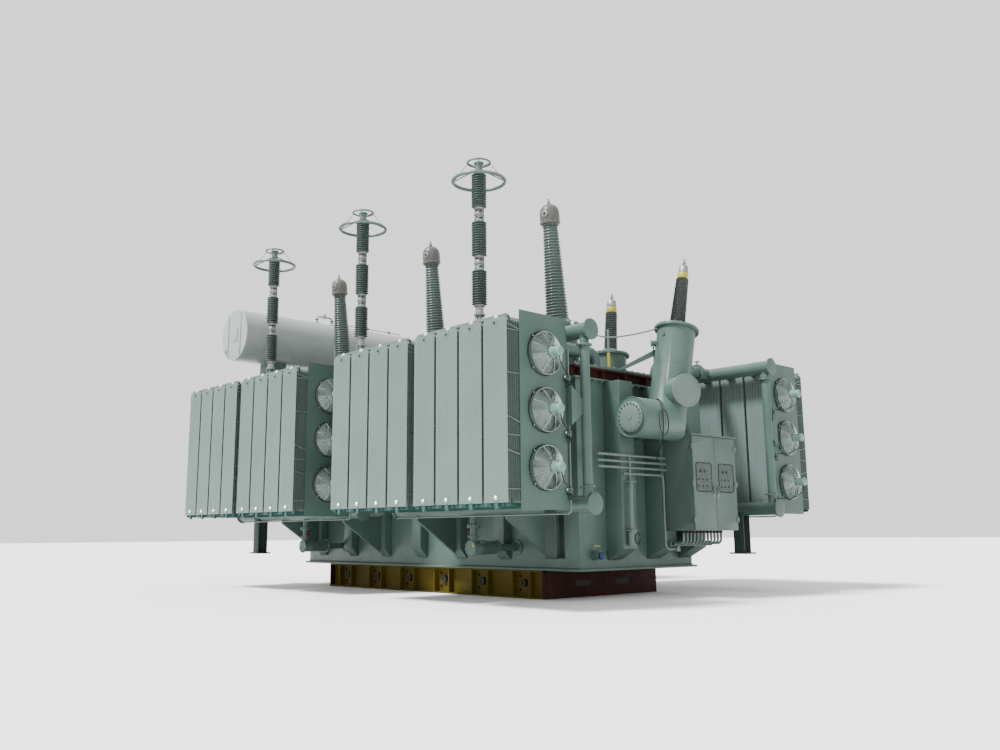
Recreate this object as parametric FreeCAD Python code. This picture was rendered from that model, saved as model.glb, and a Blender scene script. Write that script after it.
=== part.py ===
"""Large oil-filled power transformer on a shipping skid, in millimetres, +Z up.

The origin is the centre of the skid's underside.  +X is the end that carries the control cabinet,
-Y is the high-voltage side.  Four banks of plate radiators stand round the tank, two on each long side.
"""
import FreeCAD, Part
import math
import os

V = FreeCAD.Vector
X, Y, Z = V(1, 0, 0), V(0, 1, 0), V(0, 0, 1)

# ---- skid ----------------------------------------------------------------------------------------
SKID_LENGTH = 6760.0
SKID_WIDTH = 3200.0
SKID_HEIGHT = 500.0
SKID_FLANGE = 260.0
SKID_PLATE = 30.0
SKID_STIFFENER_PAIRS = 6
SKID_CROSS_BEAMS = 5

# ---- tank ----------------------------------------------------------------------------------------
TANK_LENGTH = 8500.0
TANK_WIDTH = 3200.0
TANK_TOP = 3860.0
FLOOR_PLATE = 40.0
FLOOR_LIP = 70.0
FLANGE_LIP = 90.0
FLANGE_PLATE = 35.0
RIM_HEIGHT = 190.0
RIM_RIB_PITCH = 560.0
RIM_RIB = 25.0
COVER_PLATE = 45.0
END_BOX_DEPTH = 380.0
END_BOX_WIDTH = 380.0
END_BOX_PLACES = (-690.0, 430.0, 1360.0)
SIDE_BOX_DEPTH = 190.0
SIDE_BOX_WIDTH = 300.0
SIDE_BOX_COUNT = 7
BOX_FOOT_GAP = 130.0
BOX_FOOT_SLOPE = 200.0

# ---- radiators -----------------------------------------------------------------------------------
FIN_WIDTH = 520.0
FIN_THICK = 12.0
FIN_HEIGHT = 2779.0
FIN_PITCH = 45.0
FIN_COUNT = 30
FIN_CORNER = 40.0
FIN_FOOT = 1589.0
RADIATOR_PITCH = 568.9
RADIATORS_PER_BATCH = 4
BATCH_GAP = 188.2
BANK_GAP = 1312.0
BANK_FRONT = 4265.0
COLLECTOR_R = 45.0
COLLECTOR_INSET = 75.0
COLLECTOR_STUB = 28.0
PLUG_R = 25.0
TIE_BAR = 50.0
TIE_BAR_INSET = 45.0

# ---- headers, legs and oil pipes -----------------------------------------------------------------
HEADER_R = 130.0
HEADER_LINE = 2665.0
HEADER_DROP = 28.0
HEADER_OVERHANG = 280.0
HEADER_INNER_OVERHANG = 60.0
HEADER_FLANGE_R = 172.0
HEADER_FLANGE = 28.0
LINK_R = 78.0
LINK_INSET = 158.0
LEG_PLACE = 4700.0
LEG_SIZE = 230.0
LEG_WEB = 20.0
LEG_FOOT_Z = 724.0
FOOT_LENGTH = 400.0
FOOT_WIDTH = 320.0
FOOT_PLATE = 30.0
FOOT_HOLE_R = 13.0
FOOT_HOLE_INSET = 40.0
BRACKET_BOXES = (1, 3)
BRACKET_THICK = 60.0
BRACKET_DEPTH = 120.0
BRACKET_DROP = 620.0
OIL_PIPE_R = 112.0
OIL_PIPE_BEND = 180.0
OIL_PIPE_PLACE = 4100.0
OIL_PIPE_LANDING = 900.0
OIL_PIPE_RISE = 26.0
OIL_PIPE_LIP = 30.0
PUMP_BOX = 2
PUMP_BOX_GAP = 21.4
PUMP_Z = 900.0
PUMP_R = 115.0
PUMP_LENGTH = 620.0
PUMP_FRONT = 2740.0
PUMP_PIPE_R = 62.0
PUMP_FLANGE_R = 140.0
PUMP_FLANGE = 26.0

# ---- fans ----------------------------------------------------------------------------------------
FAN_PANEL_THICK = 8.0
FAN_PANEL_FRONT = 4005.0
FAN_PANEL_BACK = 2975.0
FAN_PANEL_BELOW = 96.0
FAN_PANEL_ABOVE = 131.0
FAN_COUNT = 3
FAN_PITCH = 877.0
FAN_RING_R = 340.0
FAN_RING_WALL = 15.0
FAN_RING_DEPTH = 80.0
FAN_TIP_GAP = 20.0
BLADE_COUNT = 7
BLADE_CHORD = 130.0
BLADE_THICK = 8.0
BLADE_ANGLE = 28.0
HUB_R = 65.0
HUB_LENGTH = 56.0
SHAFT_R = 15.0
SHAFT_GAP = 0.05
SHAFT_ENTRY = 55.0
MOTOR_R = 80.0
MOTOR_LENGTH = 200.0
GUARD_DEPTH = 100.0
GUARD_RIBS = 8
GUARD_ROD_R = 5.0
GUARD_RING = 12.0
LEAD_R = 9.0
LEAD_BOX = 70.0
LEAD_ENTRY = 40.0
LEAD_SAG = 120.0
LEAD_BEND = 90.0
LEAD_BOX_RISE = 10.0

# ---- bushings ------------------------------------------------------------------------------------
PHASE_PITCH = 3536.0
HV_LEAN = 4.5
HV_LINE = -1190.0
HV_CAN_R = 350.0
HV_CAN_HEIGHT = 850.0
HV_FOOT_R = 225.0
HV_TOP_R = 148.0
HV_LENGTH = 1800.0
HV_HEAD_R = 198.0
HV_HEAD = 430.0
MV_PITCH = 3000.0
MV_LEAN = -4.5
MV_LINE = 820.0
MV_CAN_R = 324.0
MV_CAN_HEIGHT = 640.0
MV_FOOT_R = 140.0
MV_TOP_R = 128.0
MV_LENGTH = 800.0
MV_HEAD_R = 105.0
MV_HEAD = 290.0
CAN_FLANGE = 40.0
CAN_FLANGE_LIP = 60.0
COLLAR_HEIGHT = 90.0
TERMINAL_R = 22.0
TERMINAL_LENGTH = 110.0

# ---- end duct with its leaning bushing turret ----------------------------------------------------
DUCT_R = 350.0
DUCT_GAP = 15.0
DUCT_Z = 3115.0
DUCT_FRONT = -1060.0
DUCT_COVER_R = 265.0
DUCT_COVER = 45.0
TURRET_LEAN = 14.0
TURRET_CLEARANCE = 5.0
TURRET_HEIGHT = 1800.0
BRANCH_Y = -120.0
BRANCH_R = 300.0
MANHOLE_R = 270.0
MANHOLE_UP = 510.0
MANHOLE_REACH = 540.0
MANHOLE_TURN = 19.0
NB_FOOT_R = 146.0
NB_TOP_R = 118.0
NB_LENGTH = 960.0
NB_HEAD_R = 95.0
NB_HEAD = 300.0

# ---- surge arresters -----------------------------------------------------------------------------
ARRESTER_LINE = -3215.0
ARRESTER_FOOT = 4680.0
ARRESTER_BASE = 330.0
ARRESTER_BASE_R = 105.0
ARRESTER_R = 134.0
ARRESTER_UNIT = 620.0
ARRESTER_JOINT = 260.0
ARRESTER_JOINT_R = 90.0
ARRESTER_UNITS = 3
ARRESTER_CAP = 215.0
RING_R = 490.0
RING_TUBE_R = 30.0
RING_DROP = 130.0
SMALL_RING_R = 220.0
SMALL_RING_TUBE_R = 18.0
RING_STRUT_R = 12.0
STAND_BEAM = 100.0
STAND_HALF = 380.0
BRACE_REACH = 900.0
STAND_POST_Y = -1450.0

# ---- conservator ---------------------------------------------------------------------------------
CONSERVATOR_R = 615.0
CONSERVATOR_WALL = 10.0
CONSERVATOR_LENGTH = 6800.0
CONSERVATOR_OUT = 700.0
CONSERVATOR_Z = 5820.0
CONSERVATOR_END = 14.0
DRUM_MANHOLE_R = 172.0
DRUM_MANHOLE = 22.0
SADDLE_PLACE = 2350.0
SADDLE_WIDTH = 480.0
SADDLE_THICK = 420.0
SADDLE_BEAM_TOP = 4860.0
SADDLE_BEAM = 240.0
SADDLE_POST_Y = 1030.0
BRACKET_REACH = 1200.0
BREATHER_PIPE_R = 24.0
BREATHER_Y = (-1150.0, -700.0)
BREATHER_RISE = 190.0
BREATHER_BEND = 80.0
BREATHER_VALVE = 80.0
THIN_PIPE_R = 12.0
THIN_PIPE_Y = (-480.0, 1500.0)
THIN_PIPE_RISE = 70.0
THIN_PIPE_BEND = 40.0
PIPE_SINK = 3.0

# ---- control cabinet -----------------------------------------------------------------------------
CABINET_GAP = 390.0
CABINET_DEPTH = 590.0
CABINET_LEFT = 330.0
CABINET_WIDTH = 1365.0
CABINET_FOOT = 1174.0
CABINET_HEIGHT = 1700.0
CABINET_WALL = 12.0
CABINET_FRAME = 45.0
ROOF_LIP = 30.0
ROOF_RISE = 45.0
ROOF_EDGE = 25.0
DOOR_THICK = 28.0
DOOR_GAP = 6.0
DOOR_EDGE = 8.0
WINDOW_LOW = 690.0
WINDOW_HEIGHT = 520.0
WINDOW_WIDTH = 300.0
WINDOW_OFFSET = 215.0
WINDOW_RECESS = 8.0
HINGE_COUNT = 3
HINGE_INSET = 200.0
HINGE_STRAP = 60.0
HINGE_HOLE_TOP = 5.0
HINGE_PIN_R = 7.0
HINGE_PIN_GAP = 0.05
HINGE_LENGTH = 90.0
HINGE_OUT = 16.0
KNUCKLE_WALL = 6.0
KNUCKLE_GAP = 2.0
HANDLE_PLACE = 60.0
HANDLE_OUT = 26.0
HANDLE_WIDTH = 32.0
HANDLE_BELOW = 30.0
HANDLE_LENGTH = 140.0
STAND_OFF_INSET = 100.0
STAND_OFF_FOOT = 300.0
STAND_OFF_HEIGHT = 200.0
STAND_OFF_PITCH = 900.0
CONDUIT_R = 22.0
CONDUIT_COUNT = 12
CONDUIT_INSET = 100.0
CONDUIT_DROP = 230.0
CONDUIT_BEND = 80.0
TRAY_DEPTH = 60.0
TRAY_HEIGHT = 90.0
TRAY_MARGIN = 60.0
WALL_CONDUIT_TOP = 2480.0
WALL_CONDUIT_PITCH = 106.0
WALL_CONDUIT_COUNT = 4
WALL_CONDUIT_START = 60.0
CLIP_RAIL = 13.0
CLIP_WIDTH = 40.0
DOWN_CONDUIT_GAP = 80.0
DOWN_CONDUIT_FOOT = 850.0
JUNCTION_BOX = 90.0
STANDPIPE_Y = -750.0
STANDPIPE_OUT = 85.0
STANDPIPE_FOOT = 930.0
STANDPIPE_LENGTH = 1100.0
STANDPIPE_JAR = 250.0
STANDPIPE_JAR_R = 65.0
STANDPIPE_R = 40.0
STANDPIPE_PLATE = 16.0

# ---- values worked out from the sizes above ------------------------------------------------------
FLOOR_TOP = SKID_HEIGHT + FLOOR_PLATE
TANK_X = TANK_LENGTH / 2
TANK_Y = TANK_WIDTH / 2
RIM_TOP = TANK_TOP + RIM_HEIGHT
COVER_TOP = RIM_TOP + COVER_PLATE
BANK_INNER = BANK_GAP / 2
BATCH_LENGTH = (RADIATORS_PER_BATCH - 1) * RADIATOR_PITCH + FIN_WIDTH
BANK_OUTER = BANK_INNER + 2 * BATCH_LENGTH + BATCH_GAP
FIN_TOP = FIN_FOOT + FIN_HEIGHT
BANK_DEPTH = (FIN_COUNT - 1) * FIN_PITCH + FIN_THICK
COLLECTOR_LOW = FIN_FOOT + COLLECTOR_INSET
COLLECTOR_HIGH = FIN_TOP - COLLECTOR_INSET
HEADER_LOW = FIN_FOOT
HEADER_HIGH = FIN_TOP - HEADER_DROP
HEADER_END = BANK_OUTER + HEADER_OVERHANG
LINK_X = HEADER_END - LINK_INSET
FAN_LINE = (FAN_PANEL_FRONT + FAN_PANEL_BACK) / 2
FAN_MIDDLE = (FIN_FOOT - FAN_PANEL_BELOW + FIN_TOP + FAN_PANEL_ABOVE) / 2
CABINET_BACK = TANK_X + CABINET_GAP
CABINET_FRONT = CABINET_BACK + CABINET_DEPTH
CABINET_RIGHT = CABINET_LEFT + CABINET_WIDTH
CABINET_TOP = CABINET_FOOT + CABINET_HEIGHT
DUCT_X = TANK_X + END_BOX_DEPTH + DUCT_R + DUCT_GAP
TURRET_FOOT_Y = CABINET_LEFT - DUCT_R - TURRET_CLEARANCE
CONSERVATOR_X = -TANK_X - CONSERVATOR_OUT
SIDE_BOX_PITCH = TANK_LENGTH / SIDE_BOX_COUNT
PUMP_PLACE = PUMP_BOX * SIDE_BOX_PITCH + SIDE_BOX_WIDTH / 2 + PUMP_FLANGE_R + PUMP_BOX_GAP


# ---- shape helpers -------------------------------------------------------------------------------
def box(x0, x1, y0, y1, z0, z1):
    """A box between two corners given in any order."""
    low = V(min(x0, x1), min(y0, y1), min(z0, z1))
    return Part.makeBox(abs(x1 - x0), abs(y1 - y0), abs(z1 - z0), low)


def rod(start, end, radius):
    """A round bar between two points."""
    span = end - start
    return Part.makeCylinder(radius, span.Length, start, span)


def taper(start, end, radius_start, radius_end):
    """A round bar whose radius changes evenly from start to end."""
    span = end - start
    return Part.makeCone(radius_start, radius_end, span.Length, start, span)


def prism(points, sweep):
    """A flat outline pushed along a vector."""
    return Part.Face(Part.makePolygon(points + [points[0]])).extrude(sweep)


def fuse(shapes):
    """One solid made of pieces that are welded together."""
    first = shapes[0]
    return first.fuse(shapes[1:]).removeSplitter() if len(shapes) > 1 else first


def pipe(points, radius, bend):
    """A round pipe through the points, with an arc of the bend radius at each inner point."""
    edges = []
    start = points[0]
    for before, corner, after in zip(points, points[1:], points[2:]):
        back = (before - corner).normalize()
        ahead = (after - corner).normalize()
        half = back.getAngle(ahead) / 2
        middle = (back + ahead).normalize()
        centre = corner + middle * (bend / math.sin(half))
        into = corner + back * (bend / math.tan(half))
        out = corner + ahead * (bend / math.tan(half))
        edges.append(Part.LineSegment(start, into).toShape())
        edges.append(Part.Arc(into, centre - middle * bend, out).toShape())
        start = out
    edges.append(Part.LineSegment(start, points[-1]).toShape())
    section = Part.Wire(Part.makeCircle(radius, points[0], points[1] - points[0]))
    return Part.Wire(edges).makePipeShell([section], True, True)


def mirrored(shape, normal):
    """A copy on the other side of the plane through the origin with this normal."""
    return shape.mirror(V(0, 0, 0), normal)


def four_ways(shape):
    """Copies of a shape from the +X, -Y quarter in all four quarters."""
    left = mirrored(shape, X)
    return [shape, left, mirrored(shape, Y), mirrored(left, Y)]


def save(name, shapes):
    """Write one node; its shapes are solids that don't touch."""
    Part.makeCompound(shapes).exportStep("parts/" + name + ".step")


# ---- skid and tank -------------------------------------------------------------------------------
def skid_beam():
    """Long I-beam at the -Y edge with pairs of web stiffeners."""
    half = SKID_LENGTH / 2 - SKID_PLATE
    outer = -SKID_WIDTH / 2
    inner = outer + SKID_FLANGE
    middle = (outer + inner) / 2
    pieces = [
        box(-half, half, outer, inner, 0, SKID_PLATE),
        box(-half, half, outer, inner, SKID_HEIGHT - SKID_PLATE, SKID_HEIGHT),
        box(-half, half, middle - SKID_PLATE / 2, middle + SKID_PLATE / 2,
            SKID_PLATE, SKID_HEIGHT - SKID_PLATE),
    ]
    pitch = 2 * half / SKID_STIFFENER_PAIRS
    for pair in range(SKID_STIFFENER_PAIRS):
        place = -half + (pair + 0.5) * pitch
        for side in (-1, 1):
            x = place + side * pitch / 5
            pieces.append(box(x, x + SKID_PLATE, outer, inner, SKID_PLATE, SKID_HEIGHT - SKID_PLATE))
    return fuse(pieces)


def skid_cross_beams():
    """Cross beams between the long beams, and the plates that close the skid's ends."""
    inner = SKID_WIDTH / 2 - SKID_FLANGE
    half = SKID_LENGTH / 2
    beams = []
    for place in range(SKID_CROSS_BEAMS):
        x = (place - (SKID_CROSS_BEAMS - 1) / 2) * SKID_LENGTH / SKID_CROSS_BEAMS
        beams.append(box(x - SKID_FLANGE / 2, x + SKID_FLANGE / 2, -inner, inner, 0, SKID_HEIGHT))
    for side in (-1, 1):
        x = side * half
        beams.append(box(x - side * SKID_PLATE, x, -SKID_WIDTH / 2, SKID_WIDTH / 2, 0, SKID_HEIGHT))
    return beams


def tank_body():
    """Oil-filled tank with the flange that the cover bolts to."""
    lip = FLANGE_LIP
    body = box(-TANK_X, TANK_X, -TANK_Y, TANK_Y, FLOOR_TOP, TANK_TOP)
    flange = box(-TANK_X - lip, TANK_X + lip, -TANK_Y - lip, TANK_Y + lip, TANK_TOP - FLANGE_PLATE, TANK_TOP)
    return fuse([body, flange])


def box_column(depth, width):
    """Stiffening box column standing on +X face of a wall at x = 0, centred on y = 0."""
    foot = FLOOR_TOP + BOX_FOOT_GAP
    top = TANK_TOP - FLANGE_PLATE
    outline = [V(0, -width / 2, foot), V(depth, -width / 2, foot + BOX_FOOT_SLOPE),
               V(depth, -width / 2, top), V(0, -width / 2, top)]
    return prism(outline, Y * width)


def tank_stiffeners():
    """Box columns on the two ends and the two long sides."""
    columns = []
    end = box_column(END_BOX_DEPTH, END_BOX_WIDTH)
    side = box_column(SIDE_BOX_DEPTH, SIDE_BOX_WIDTH)
    for y in END_BOX_PLACES:
        at_cabinet = end.translated(V(TANK_X, y, 0))
        columns.append(at_cabinet)
        columns.append(mirrored(at_cabinet, X))
    pitch = SIDE_BOX_PITCH
    for place in range(SIDE_BOX_COUNT):
        x = (place - (SIDE_BOX_COUNT - 1) / 2) * pitch
        turned = side.rotated(V(0, 0, 0), Z, -90).translated(V(x, -TANK_Y, 0))
        columns.append(turned)
        columns.append(mirrored(turned, Y))
    return columns


def cover_rim():
    """Ribbed frame between the tank and its cover."""
    lip = FLANGE_LIP
    inset = RIM_RIB
    pieces = [
        box(-TANK_X + inset, TANK_X - inset, -TANK_Y + inset, TANK_Y - inset, TANK_TOP, RIM_TOP),
        box(-TANK_X - lip, TANK_X + lip, -TANK_Y - lip, TANK_Y + lip, RIM_TOP - FLANGE_PLATE, RIM_TOP),
    ]
    for length, width, turn in ((TANK_X, TANK_Y, 0), (TANK_Y, TANK_X, 90)):
        count = int(2 * length / RIM_RIB_PITCH)
        for rib in range(count + 1):
            x = -length + RIM_RIB + rib * (2 * length - 3 * RIM_RIB) / count
            across = box(x, x + RIM_RIB, -width - lip, width + lip, TANK_TOP, RIM_TOP - FLANGE_PLATE)
            pieces.append(across.rotated(V(0, 0, 0), Z, turn))
    return fuse(pieces)


# ---- radiators -----------------------------------------------------------------------------------
def header_cylinder(z, x0, x1):
    """Outside of a header pipe between two places along X."""
    return Part.makeCylinder(HEADER_R, x1 - x0, V(x0, -HEADER_LINE, z), X)


def radiator_places():
    """Left edges of the eight radiators of the +X, -Y bank."""
    places = []
    for batch in range(2):
        start = BANK_INNER + batch * (BATCH_LENGTH + BATCH_GAP)
        places.extend(start + place * RADIATOR_PITCH for place in range(RADIATORS_PER_BATCH))
    return places


def radiator():
    """One radiator: plate fins threaded on a top and a bottom collector, left edge at x = 0."""
    c = FIN_CORNER
    w = FIN_WIDTH
    outline = [V(0, 0, FIN_FOOT), V(w, 0, FIN_FOOT), V(w, 0, FIN_TOP - c), V(w - c, 0, FIN_TOP),
               V(c, 0, FIN_TOP), V(0, 0, FIN_TOP - c)]
    fin = prism(outline, Y * FIN_THICK)
    pieces = [fin.translated(V(0, -BANK_FRONT + k * FIN_PITCH, 0)) for k in range(FIN_COUNT)]
    for z in (COLLECTOR_LOW, COLLECTOR_HIGH):
        start = V(w / 2, -BANK_FRONT + FIN_THICK / 2, z)
        pieces.append(rod(start, V(w / 2, -BANK_FRONT + BANK_DEPTH, z), COLLECTOR_R))
        pieces.append(rod(V(w / 2, -BANK_FRONT - COLLECTOR_STUB, z), start, PLUG_R))
    return pieces[0].fuse(pieces[1:])


def radiator_necks():
    """Short pipes from the +X, -Y bank's radiators to its two headers."""
    necks = []
    for x in radiator_places():
        for z, header_z in ((COLLECTOR_LOW, HEADER_LOW), (COLLECTOR_HIGH, HEADER_HIGH)):
            start = V(x + FIN_WIDTH / 2, -BANK_FRONT + BANK_DEPTH, z)
            tube = rod(start, V(start.x, -HEADER_LINE, z), COLLECTOR_R)
            necks.append(tube.cut(header_cylinder(header_z, x, x + FIN_WIDTH)))
    return necks


def bank_radiators(one):
    """The eight radiators of the +X, -Y bank."""
    return [one.translated(V(x, 0, 0)) for x in radiator_places()]


def tie_bars():
    """Bars that hold each batch of radiators together, over and under the fins."""
    bars = []
    front = -BANK_FRONT + TIE_BAR_INSET
    back = -BANK_FRONT + BANK_DEPTH - TIE_BAR_INSET - TIE_BAR
    for batch in range(2):
        x = BANK_INNER + batch * (BATCH_LENGTH + BATCH_GAP)
        for y in (front, back):
            for z in (FIN_FOOT - TIE_BAR, FIN_TOP):
                bars.extend(four_ways(box(x, x + BATCH_LENGTH, y, y + TIE_BAR, z, z + TIE_BAR)))
    return bars


# ---- headers, legs, brackets and oil pipes -------------------------------------------------------
def bank_header(z):
    """Header of the +X, -Y bank at one level, with its blank ends."""
    start = BANK_INNER - HEADER_INNER_OVERHANG
    pieces = [header_cylinder(z, start, HEADER_END)]
    for x in (start, HEADER_END - HEADER_FLANGE):
        pieces.append(Part.makeCylinder(HEADER_FLANGE_R, HEADER_FLANGE, V(x, -HEADER_LINE, z), X))
    return fuse(pieces)


def link_pipe():
    """Upright pipe between the two headers of the +X, -Y bank."""
    tube = rod(V(LINK_X, -HEADER_LINE, HEADER_LOW), V(LINK_X, -HEADER_LINE, HEADER_HIGH), LINK_R)
    for z in (HEADER_LOW, HEADER_HIGH):
        tube = tube.cut(header_cylinder(z, LINK_X - 2 * LINK_R, LINK_X + 2 * LINK_R))
    return tube


def foot_holes():
    """Centres of the four bolt holes of the +X, -Y foot plate."""
    dx = FOOT_LENGTH / 2 - FOOT_HOLE_INSET
    dy = FOOT_WIDTH / 2 - FOOT_HOLE_INSET
    return [V(LEG_PLACE + sx * dx, -HEADER_LINE + sy * dy, LEG_FOOT_Z) for sx in (-1, 1) for sy in (-1, 1)]


def leg():
    """H-section leg under the +X, -Y header, on a foot plate with four bolt holes."""
    half = LEG_SIZE / 2
    x, y = LEG_PLACE, -HEADER_LINE
    foot_top = LEG_FOOT_Z + FOOT_PLATE
    top = HEADER_LOW
    plate = box(x - FOOT_LENGTH / 2, x + FOOT_LENGTH / 2,
                y - FOOT_WIDTH / 2, y + FOOT_WIDTH / 2, LEG_FOOT_Z, foot_top)
    for centre in foot_holes():
        plate = plate.cut(rod(centre, centre + Z * FOOT_PLATE, FOOT_HOLE_R))
    pieces = [plate, box(x - LEG_WEB / 2, x + LEG_WEB / 2, y - half, y + half, foot_top, top)]
    for side in (-1, 1):
        face = y + side * half
        pieces.append(box(x - half, x + half, face, face - side * LEG_WEB, foot_top, top))
    return fuse(pieces).cut(header_cylinder(HEADER_LOW, x - LEG_SIZE, x + LEG_SIZE))


def header_bracket(place):
    """Arm from a side box column under the bottom header with a gusset below it."""
    top = HEADER_LOW - HEADER_R * 0.6
    under = top - BRACKET_DEPTH
    reach = -HEADER_LINE - HEADER_R / 2
    x = place - BRACKET_THICK / 2
    face = -TANK_Y - SIDE_BOX_DEPTH
    outline = [V(x, face, top), V(x, reach, top), V(x, reach, under), V(x, face, under - BRACKET_DROP)]
    arm = prism(outline, X * BRACKET_THICK)
    return arm.cut(header_cylinder(HEADER_LOW, x - BRACKET_THICK, x + 2 * BRACKET_THICK))


def oil_pipe():
    """Large pipe from the top header over the tank rim and down on the cover."""
    z = HEADER_HIGH + OIL_PIPE_RISE
    x = OIL_PIPE_PLACE
    landing = V(x, -OIL_PIPE_LANDING, COVER_TOP)
    body = pipe([V(x, -HEADER_LINE, z), V(x, -OIL_PIPE_LANDING, z), landing], OIL_PIPE_R, OIL_PIPE_BEND)
    flange = rod(landing, landing + Z * HEADER_FLANGE, OIL_PIPE_R + OIL_PIPE_LIP)
    return fuse([body, flange]).cut(header_cylinder(HEADER_HIGH, x - 2 * OIL_PIPE_R, x + 2 * OIL_PIPE_R))


def pump():
    """Oil pump under the bottom header with its riser and the pipe to the tank."""
    x = PUMP_PLACE
    front = -PUMP_FRONT
    back = front + PUMP_LENGTH
    pieces = [
        rod(V(x, front, PUMP_Z), V(x, back, PUMP_Z), PUMP_R),
        rod(V(x, back, PUMP_Z), V(x, -TANK_Y, PUMP_Z), PUMP_PIPE_R),
        rod(V(x, -HEADER_LINE, PUMP_Z), V(x, -HEADER_LINE, HEADER_LOW), PUMP_PIPE_R),
    ]
    for y in (front, back - PUMP_FLANGE, -TANK_Y - PUMP_FLANGE):
        pieces.append(rod(V(x, y, PUMP_Z), V(x, y + PUMP_FLANGE, PUMP_Z), PUMP_FLANGE_R))
    z = (PUMP_Z + HEADER_LOW) / 2
    pieces.append(rod(V(x, -HEADER_LINE, z), V(x, -HEADER_LINE, z + 2 * PUMP_FLANGE), PUMP_R))
    return fuse(pieces).cut(header_cylinder(HEADER_LOW, x - 2 * PUMP_R, x + 2 * PUMP_R))


# ---- fans (built at the origin, facing +X, then moved) -------------------------------------------
def fan_places(quarter_x, quarter_y):
    """Centres of one panel's fans on the panel's outer face; the panel is at the bank's +X end."""
    x = (BANK_OUTER if quarter_x > 0 else -BANK_INNER) + FAN_PANEL_THICK
    middle = (FAN_COUNT - 1) / 2
    return [V(x, quarter_y * FAN_LINE, FAN_MIDDLE + (middle - k) * FAN_PITCH) for k in range(FAN_COUNT)]


def fan_panel(quarter_x, quarter_y):
    """Sheet at the end of a bank with a round opening behind each fan."""
    centres = fan_places(quarter_x, quarter_y)
    x = centres[0].x
    panel = box(x - FAN_PANEL_THICK, x, quarter_y * FAN_PANEL_FRONT, quarter_y * FAN_PANEL_BACK,
                FIN_FOOT - FAN_PANEL_BELOW, FIN_TOP + FAN_PANEL_ABOVE)
    for centre in centres:
        panel = panel.cut(rod(centre - X * FAN_PANEL_THICK, centre, FAN_RING_R - FAN_RING_WALL))
    return panel


def fan_guard():
    """Ring round the blades with a conical guard of straight ribs that carries the motor."""
    inner = FAN_RING_R - FAN_RING_WALL
    ring = rod(V(0, 0, 0), X * FAN_RING_DEPTH, FAN_RING_R).cut(rod(V(0, 0, 0), X * FAN_RING_DEPTH, inner))
    nose_x = FAN_RING_DEPTH + GUARD_DEPTH
    nose = rod(V(nose_x, 0, 0), V(nose_x + GUARD_RING, 0, 0), MOTOR_R + GUARD_RING)
    nose = nose.cut(rod(V(nose_x, 0, 0), V(nose_x + GUARD_RING, 0, 0), MOTOR_R))
    pieces = [ring, nose]
    for rib in range(GUARD_RIBS):
        turn = math.radians((rib + 0.5) * 360 / GUARD_RIBS)
        out = V(0, math.cos(turn), math.sin(turn))
        foot = X * (FAN_RING_DEPTH - GUARD_ROD_R) + out * (FAN_RING_R - FAN_RING_WALL / 2)
        head = X * (nose_x + GUARD_RING / 2) + out * (MOTOR_R + GUARD_RING / 2)
        pieces.append(rod(foot, head, GUARD_ROD_R))
    return pieces[0].fuse(pieces[1:])


def motor_face():
    """Distance from the panel to the motor's near end."""
    return FAN_RING_DEPTH + GUARD_DEPTH


def fan_motor():
    """Motor held in the nose of the guard, bored for the rotor's shaft."""
    start = motor_face()
    body = rod(V(start, 0, 0), V(start + MOTOR_LENGTH, 0, 0), MOTOR_R)
    bore = rod(V(start, 0, 0), V(start + SHAFT_ENTRY + GUARD_ROD_R, 0, 0), SHAFT_R + SHAFT_GAP)
    return body.cut(bore)


def fan_rotor():
    """Hub, shaft and blades."""
    middle = FAN_RING_DEPTH / 2 + SHAFT_GAP
    hub = rod(V(middle - HUB_LENGTH / 2, 0, 0), V(middle + HUB_LENGTH / 2, 0, 0), HUB_R)
    shaft = rod(V(middle, 0, 0), V(motor_face() + SHAFT_ENTRY, 0, 0), SHAFT_R)
    tip = FAN_RING_R - FAN_RING_WALL - FAN_TIP_GAP
    blade = box(-BLADE_THICK / 2, BLADE_THICK / 2, -BLADE_CHORD / 2, BLADE_CHORD / 2, HUB_R * 0.7, tip - 8)
    blade = blade.rotated(V(0, 0, 0), Z, BLADE_ANGLE).translated(X * middle)
    pieces = [shaft]
    for number in range(BLADE_COUNT):
        pieces.append(blade.rotated(V(0, 0, 0), X, number * 360 / BLADE_COUNT))
    return hub.fuse(pieces)


def lead_box_and_lead(quarter_y):
    """Connection box beside a fan and the lead from it to the motor's end."""
    side = -quarter_y
    beside = FAN_LINE - FAN_PANEL_BACK - LEAD_BOX
    low = -FAN_RING_R + LEAD_BOX_RISE
    plug = V(LEAD_BOX, side * (beside + LEAD_BOX / 2), low)
    block = box(0, LEAD_BOX, side * beside, side * (beside + LEAD_BOX),
                low - LEAD_BOX / 2, low + LEAD_BOX / 2)
    end = motor_face() + MOTOR_LENGTH - LEAD_ENTRY
    entry = V(end, 0, -MOTOR_R)
    run = [entry, V(end, side * 30, -MOTOR_R - LEAD_SAG), V(end * 0.62, side * beside * 0.75, low - 20), plug]
    lead = pipe(run, LEAD_R, LEAD_BEND)
    trim = rod(V(end - LEAD_ENTRY, 0, 0), V(end + LEAD_ENTRY, 0, 0), MOTOR_R)
    return block, lead.cut(trim).cut(block)


# ---- bushings ------------------------------------------------------------------------------------
def leaning(lean):
    """Unit vector tilted from upright towards -Y by this many degrees."""
    return V(0, -math.sin(math.radians(lean)), math.cos(math.radians(lean)))


def can(foot, lean, radius, height):
    """Round turret on the cover, with a flange at its leaning top; its foot is cut level."""
    up = leaning(lean)
    below = foot - up * radius
    pieces = [
        rod(below, foot + up * height, radius),
        rod(foot + up * (height - CAN_FLANGE), foot + up * height, radius + CAN_FLANGE_LIP),
    ]
    reach = 2 * radius
    below_cover = box(foot.x - reach, foot.x + reach, foot.y - reach, foot.y + reach,
                      foot.z - 3 * radius, foot.z)
    return fuse(pieces).cut(below_cover)


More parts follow.
